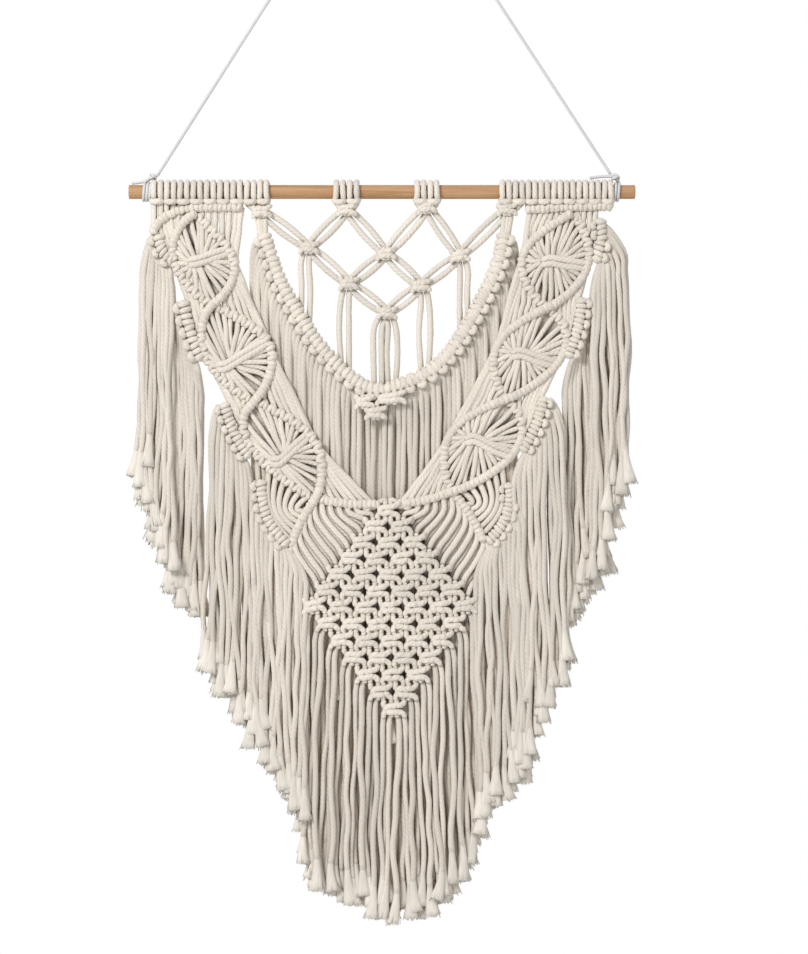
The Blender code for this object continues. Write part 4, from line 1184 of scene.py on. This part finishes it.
def make_dowel():
    """Turned dowel: rings of one radius, eased over the last millimetre of each end."""
    skein = Skein(61, lumps=0)
    middle = (DOWEL_LOW.x + DOWEL_HIGH.x) / 2 / MM
    half = (DOWEL_HIGH.x - DOWEL_LOW.x) / 2 / MM
    across = middle + np.concatenate(((-half, -half + 0.25, -half + 0.8),
                                      np.linspace(-half + 2, half - 2, 60),
                                      (half - 0.8, half - 0.25, half)))
    radius = np.full(len(across), DOWEL_RADIUS)
    radius[[0, -1]] -= 0.8
    radius[[1, -2]] -= 0.25
    skein.cords([place(across, 0, 0)], radius=[radius], sides=64, cap=0)
    mesh = skein.mesh("dowel_rod")
    mesh.set_sharp_from_angle(angle=math.radians(50))
    colours = bpy.context.scene.macrame_colours
    hang_in_frame("dowel_rod", mesh, wood_material("sanded_wood", colours.wood, colours.wood_deep),
                  "dowel_wood", "dowel")


def make_hanging_cord():
    """Thin cord over its peg, knotted to both ends of the dowel, with short tails."""
    radius = sizes()["hanger"] / 2
    skein = Skein(71, radius, lumps=0)
    top = -DOWEL_DROP - radius
    left_end, right_end = (knot[-1] for knot, loops, tail in HANGER_ENDS)
    line = np.array((left_end, (-120, -184, 0), (-7, top + 5.2, 0), (-3, top + 1.2, 0), (0, top, 0),
                     (3, top + 1.2, 0), (7, top + 5.2, 0), (120, -181, 0), right_end), float)
    skein.cords([path(np.concatenate((
        even(line[:3], 90)[:-1], curve(line[2:7], 24)[:-1], even(line[6:], 90))))], sides=10)
    around = DOWEL_RADIUS + radius + 0.15
    for knot, loops, tail in HANGER_ENDS:
        skein.lay([tail], step=2, sides=10)
        skein.lay([knot], step=2, sides=10, radius=radius * 1.15)
        skein.wraps(place(loops, 0, 0), np.tile((0.8, 0, around), (len(loops), 1)),
                    np.tile((0, -around, 0), (len(loops), 1)), steps=28, sides=10)
        middle = np.array(knot[1])
        skein.wraps(path([middle, middle + (1.4, -1.6, -1)]), ((2.6, 0, 1.2), (2.2, 0, -1.8)),
                    ((0, -2.8, 0), (0, -2.6, 0.6)), steps=16, sides=10)
    hang_in_frame("hanging_cord_line", skein.mesh("hanging_cord_line"), finish_of("bleached_cord"),
                  "hanging_cord_cotton", "hanging_cord")


def make_floor():
    """Pale round floor below the hanging, with a fine grain."""
    angle = np.arange(FLOOR["corners"]) * 2 * math.pi / FLOOR["corners"]
    rim = np.column_stack((FLOOR["radius"] * np.cos(angle), FLOOR["radius"] * np.sin(angle)))
    mesh = bpy.data.meshes.new("floor")
    mesh.from_pydata(with_depth(rim, FLOOR["level"]).tolist(), [], [tuple(range(len(rim)))])
    material, add, shade_with = plain_material("floor_paint")
    shade_with({
        "Base Color": (*bpy.context.scene.macrame_colours.floor, 1), "Roughness": 0.8,
        "Normal": bumped(add, noise(add, object_place(add), 60.0, 4.0), 0.05, 0.001),
    })
    mesh.materials.append(material)
    floor = bpy.data.objects.new("floor", mesh)
    bpy.context.scene.collection.objects.link(floor)


def make_lights():
    """Soft square lamps that face one point, and a white world that is dimmer as a light
    than as a backdrop."""
    for name, (spot, size, watts) in LIGHTS.items():
        light = bpy.data.lights.new(name, "AREA")
        light.size = size
        light.energy = watts
        lamp = bpy.data.objects.new(name, light)
        lamp.location = spot
        lamp.rotation_euler = lamp_turn(np.subtract(LIT_POINT, spot))
        bpy.context.scene.collection.objects.link(lamp)
    world = bpy.data.worlds.new("studio")
    world.use_nodes = True
    add = node_maker(world.node_tree)
    seen = add("ShaderNodeLightPath", {}).outputs["Is Camera Ray"]
    fill(world.node_tree, world.node_tree.nodes["Background"],
         {"Color": (1, 1, 1, 1), "Strength": ranged(add, seen, low=0.54)})
    bpy.context.scene.world = world


def lamp_turn(direction):
    """Euler angles that turn a lamp's -Z along a direction."""
    x, y, z = direction
    return (math.atan2(math.hypot(x, y), -z), 0, math.atan2(y, x) - math.pi / 2)


def make_camera():
    """Camera straight in front. Its lens puts the height of the view, which is the longer
    side of the picture, on the sensor's width."""
    lens = bpy.data.cameras.new("camera")
    lens.sensor_width = VIEW["sensor_mm"]
    lens.lens = lens.sensor_width * VIEW["distance"] / VIEW["height"]
    camera = bpy.data.objects.new("camera", lens)
    camera.location = (VIEW["across"], -VIEW["distance"], VIEW["level"])
    camera.rotation_euler = (math.pi / 2, 0, 0)
    bpy.context.scene.collection.objects.link(camera)
    bpy.context.scene.camera = camera
    bpy.context.scene.view_settings.view_transform = "Standard"


class MACRAME_OT_stage(bpy.types.Operator):
    """Add the floor, the lights and the camera"""

    bl_idname = "macrame.stage"
    bl_label = "Stage"
    bl_options = {"REGISTER", "UNDO"}

    def execute(self, context):
        make_floor()
        make_lights()
        make_camera()
        return {"FINISHED"}


class MACRAME_OT_dowel(bpy.types.Operator):
    """Add the wooden dowel"""

    bl_idname = "macrame.dowel"
    bl_label = "Dowel"
    bl_options = {"REGISTER", "UNDO"}

    def execute(self, context):
        make_dowel()
        return {"FINISHED"}


class MACRAME_OT_hanging_cord(bpy.types.Operator):
    """Add the cord that the dowel hangs from"""

    bl_idname = "macrame.hanging_cord"
    bl_label = "Hanging cord"
    bl_options = {"REGISTER", "UNDO"}

    def execute(self, context):
        make_hanging_cord()
        return {"FINISHED"}


class MACRAME_OT_wings(bpy.types.Operator):
    """Add both wings"""

    bl_idname = "macrame.wings"
    bl_label = "Wings"
    bl_options = {"REGISTER", "UNDO"}

    def execute(self, context):
        make_wing("left", 11)
        make_wing("right", 12)
        return {"FINISHED"}


class MACRAME_OT_net(bpy.types.Operator):
    """Add the tabs and the net between them"""

    bl_idname = "macrame.net"
    bl_label = "Net"
    bl_options = {"REGISTER", "UNDO"}

    def execute(self, context):
        make_net()
        return {"FINISHED"}


class MACRAME_OT_swag(bpy.types.Operator):
    """Add the swag and its fringe"""

    bl_idname = "macrame.swag"
    bl_label = "Swag"
    bl_options = {"REGISTER", "UNDO"}

    def execute(self, context):
        make_swag()
        return {"FINISHED"}


class MACRAME_OT_diamond(bpy.types.Operator):
    """Add the diamond of square knots and its fringe"""

    bl_idname = "macrame.diamond"
    bl_label = "Diamond"
    bl_options = {"REGISTER", "UNDO"}

    def execute(self, context):
        make_diamond()
        return {"FINISHED"}


class MACRAME_OT_scallops(bpy.types.Operator):
    """Add the scallops down both sides with their fringes"""

    bl_idname = "macrame.scallops"
    bl_label = "Scallops"
    bl_options = {"REGISTER", "UNDO"}

    def execute(self, context):
        for name in SCALLOPS:
            make_scallop(name)
        return {"FINISHED"}


class MACRAME_PT_panel(bpy.types.Panel):
    """Sizes, colours and the pieces in the order in which they are made"""

    bl_label = "Macrame"
    bl_idname = "MACRAME_PT_panel"
    bl_space_type = "VIEW_3D"
    bl_region_type = "UI"
    bl_category = "Macrame"

    def draw(self, context):
        for settings in (context.scene.macrame_cord, context.scene.macrame_colours):
            for name in settings.__annotations__:
                self.layout.prop(settings, name)
        for operator in OPERATORS:
            self.layout.operator(operator.bl_idname)


OPERATORS = (
    MACRAME_OT_stage, MACRAME_OT_hanging_cord, MACRAME_OT_dowel, MACRAME_OT_net, MACRAME_OT_swag,
    MACRAME_OT_wings, MACRAME_OT_diamond, MACRAME_OT_scallops,
)
CLASSES = (CordSettings, ColourSettings, *OPERATORS, MACRAME_PT_panel)


def register():
    """Register the classes and hang the settings on the scene."""
    for cls in CLASSES:
        bpy.utils.register_class(cls)
    bpy.types.Scene.macrame_cord = bpy.props.PointerProperty(type=CordSettings)
    bpy.types.Scene.macrame_colours = bpy.props.PointerProperty(type=ColourSettings)


def unregister():
    """Take both away again."""
    del bpy.types.Scene.macrame_colours
    del bpy.types.Scene.macrame_cord
    for cls in reversed(CLASSES):
        bpy.utils.unregister_class(cls)


def main():
    """Make all pieces in order."""
    register()
    for operator in OPERATORS:
        group, name = operator.bl_idname.split(".")
        getattr(getattr(bpy.ops, group), name)()


if __name__ == "__main__":
    main()
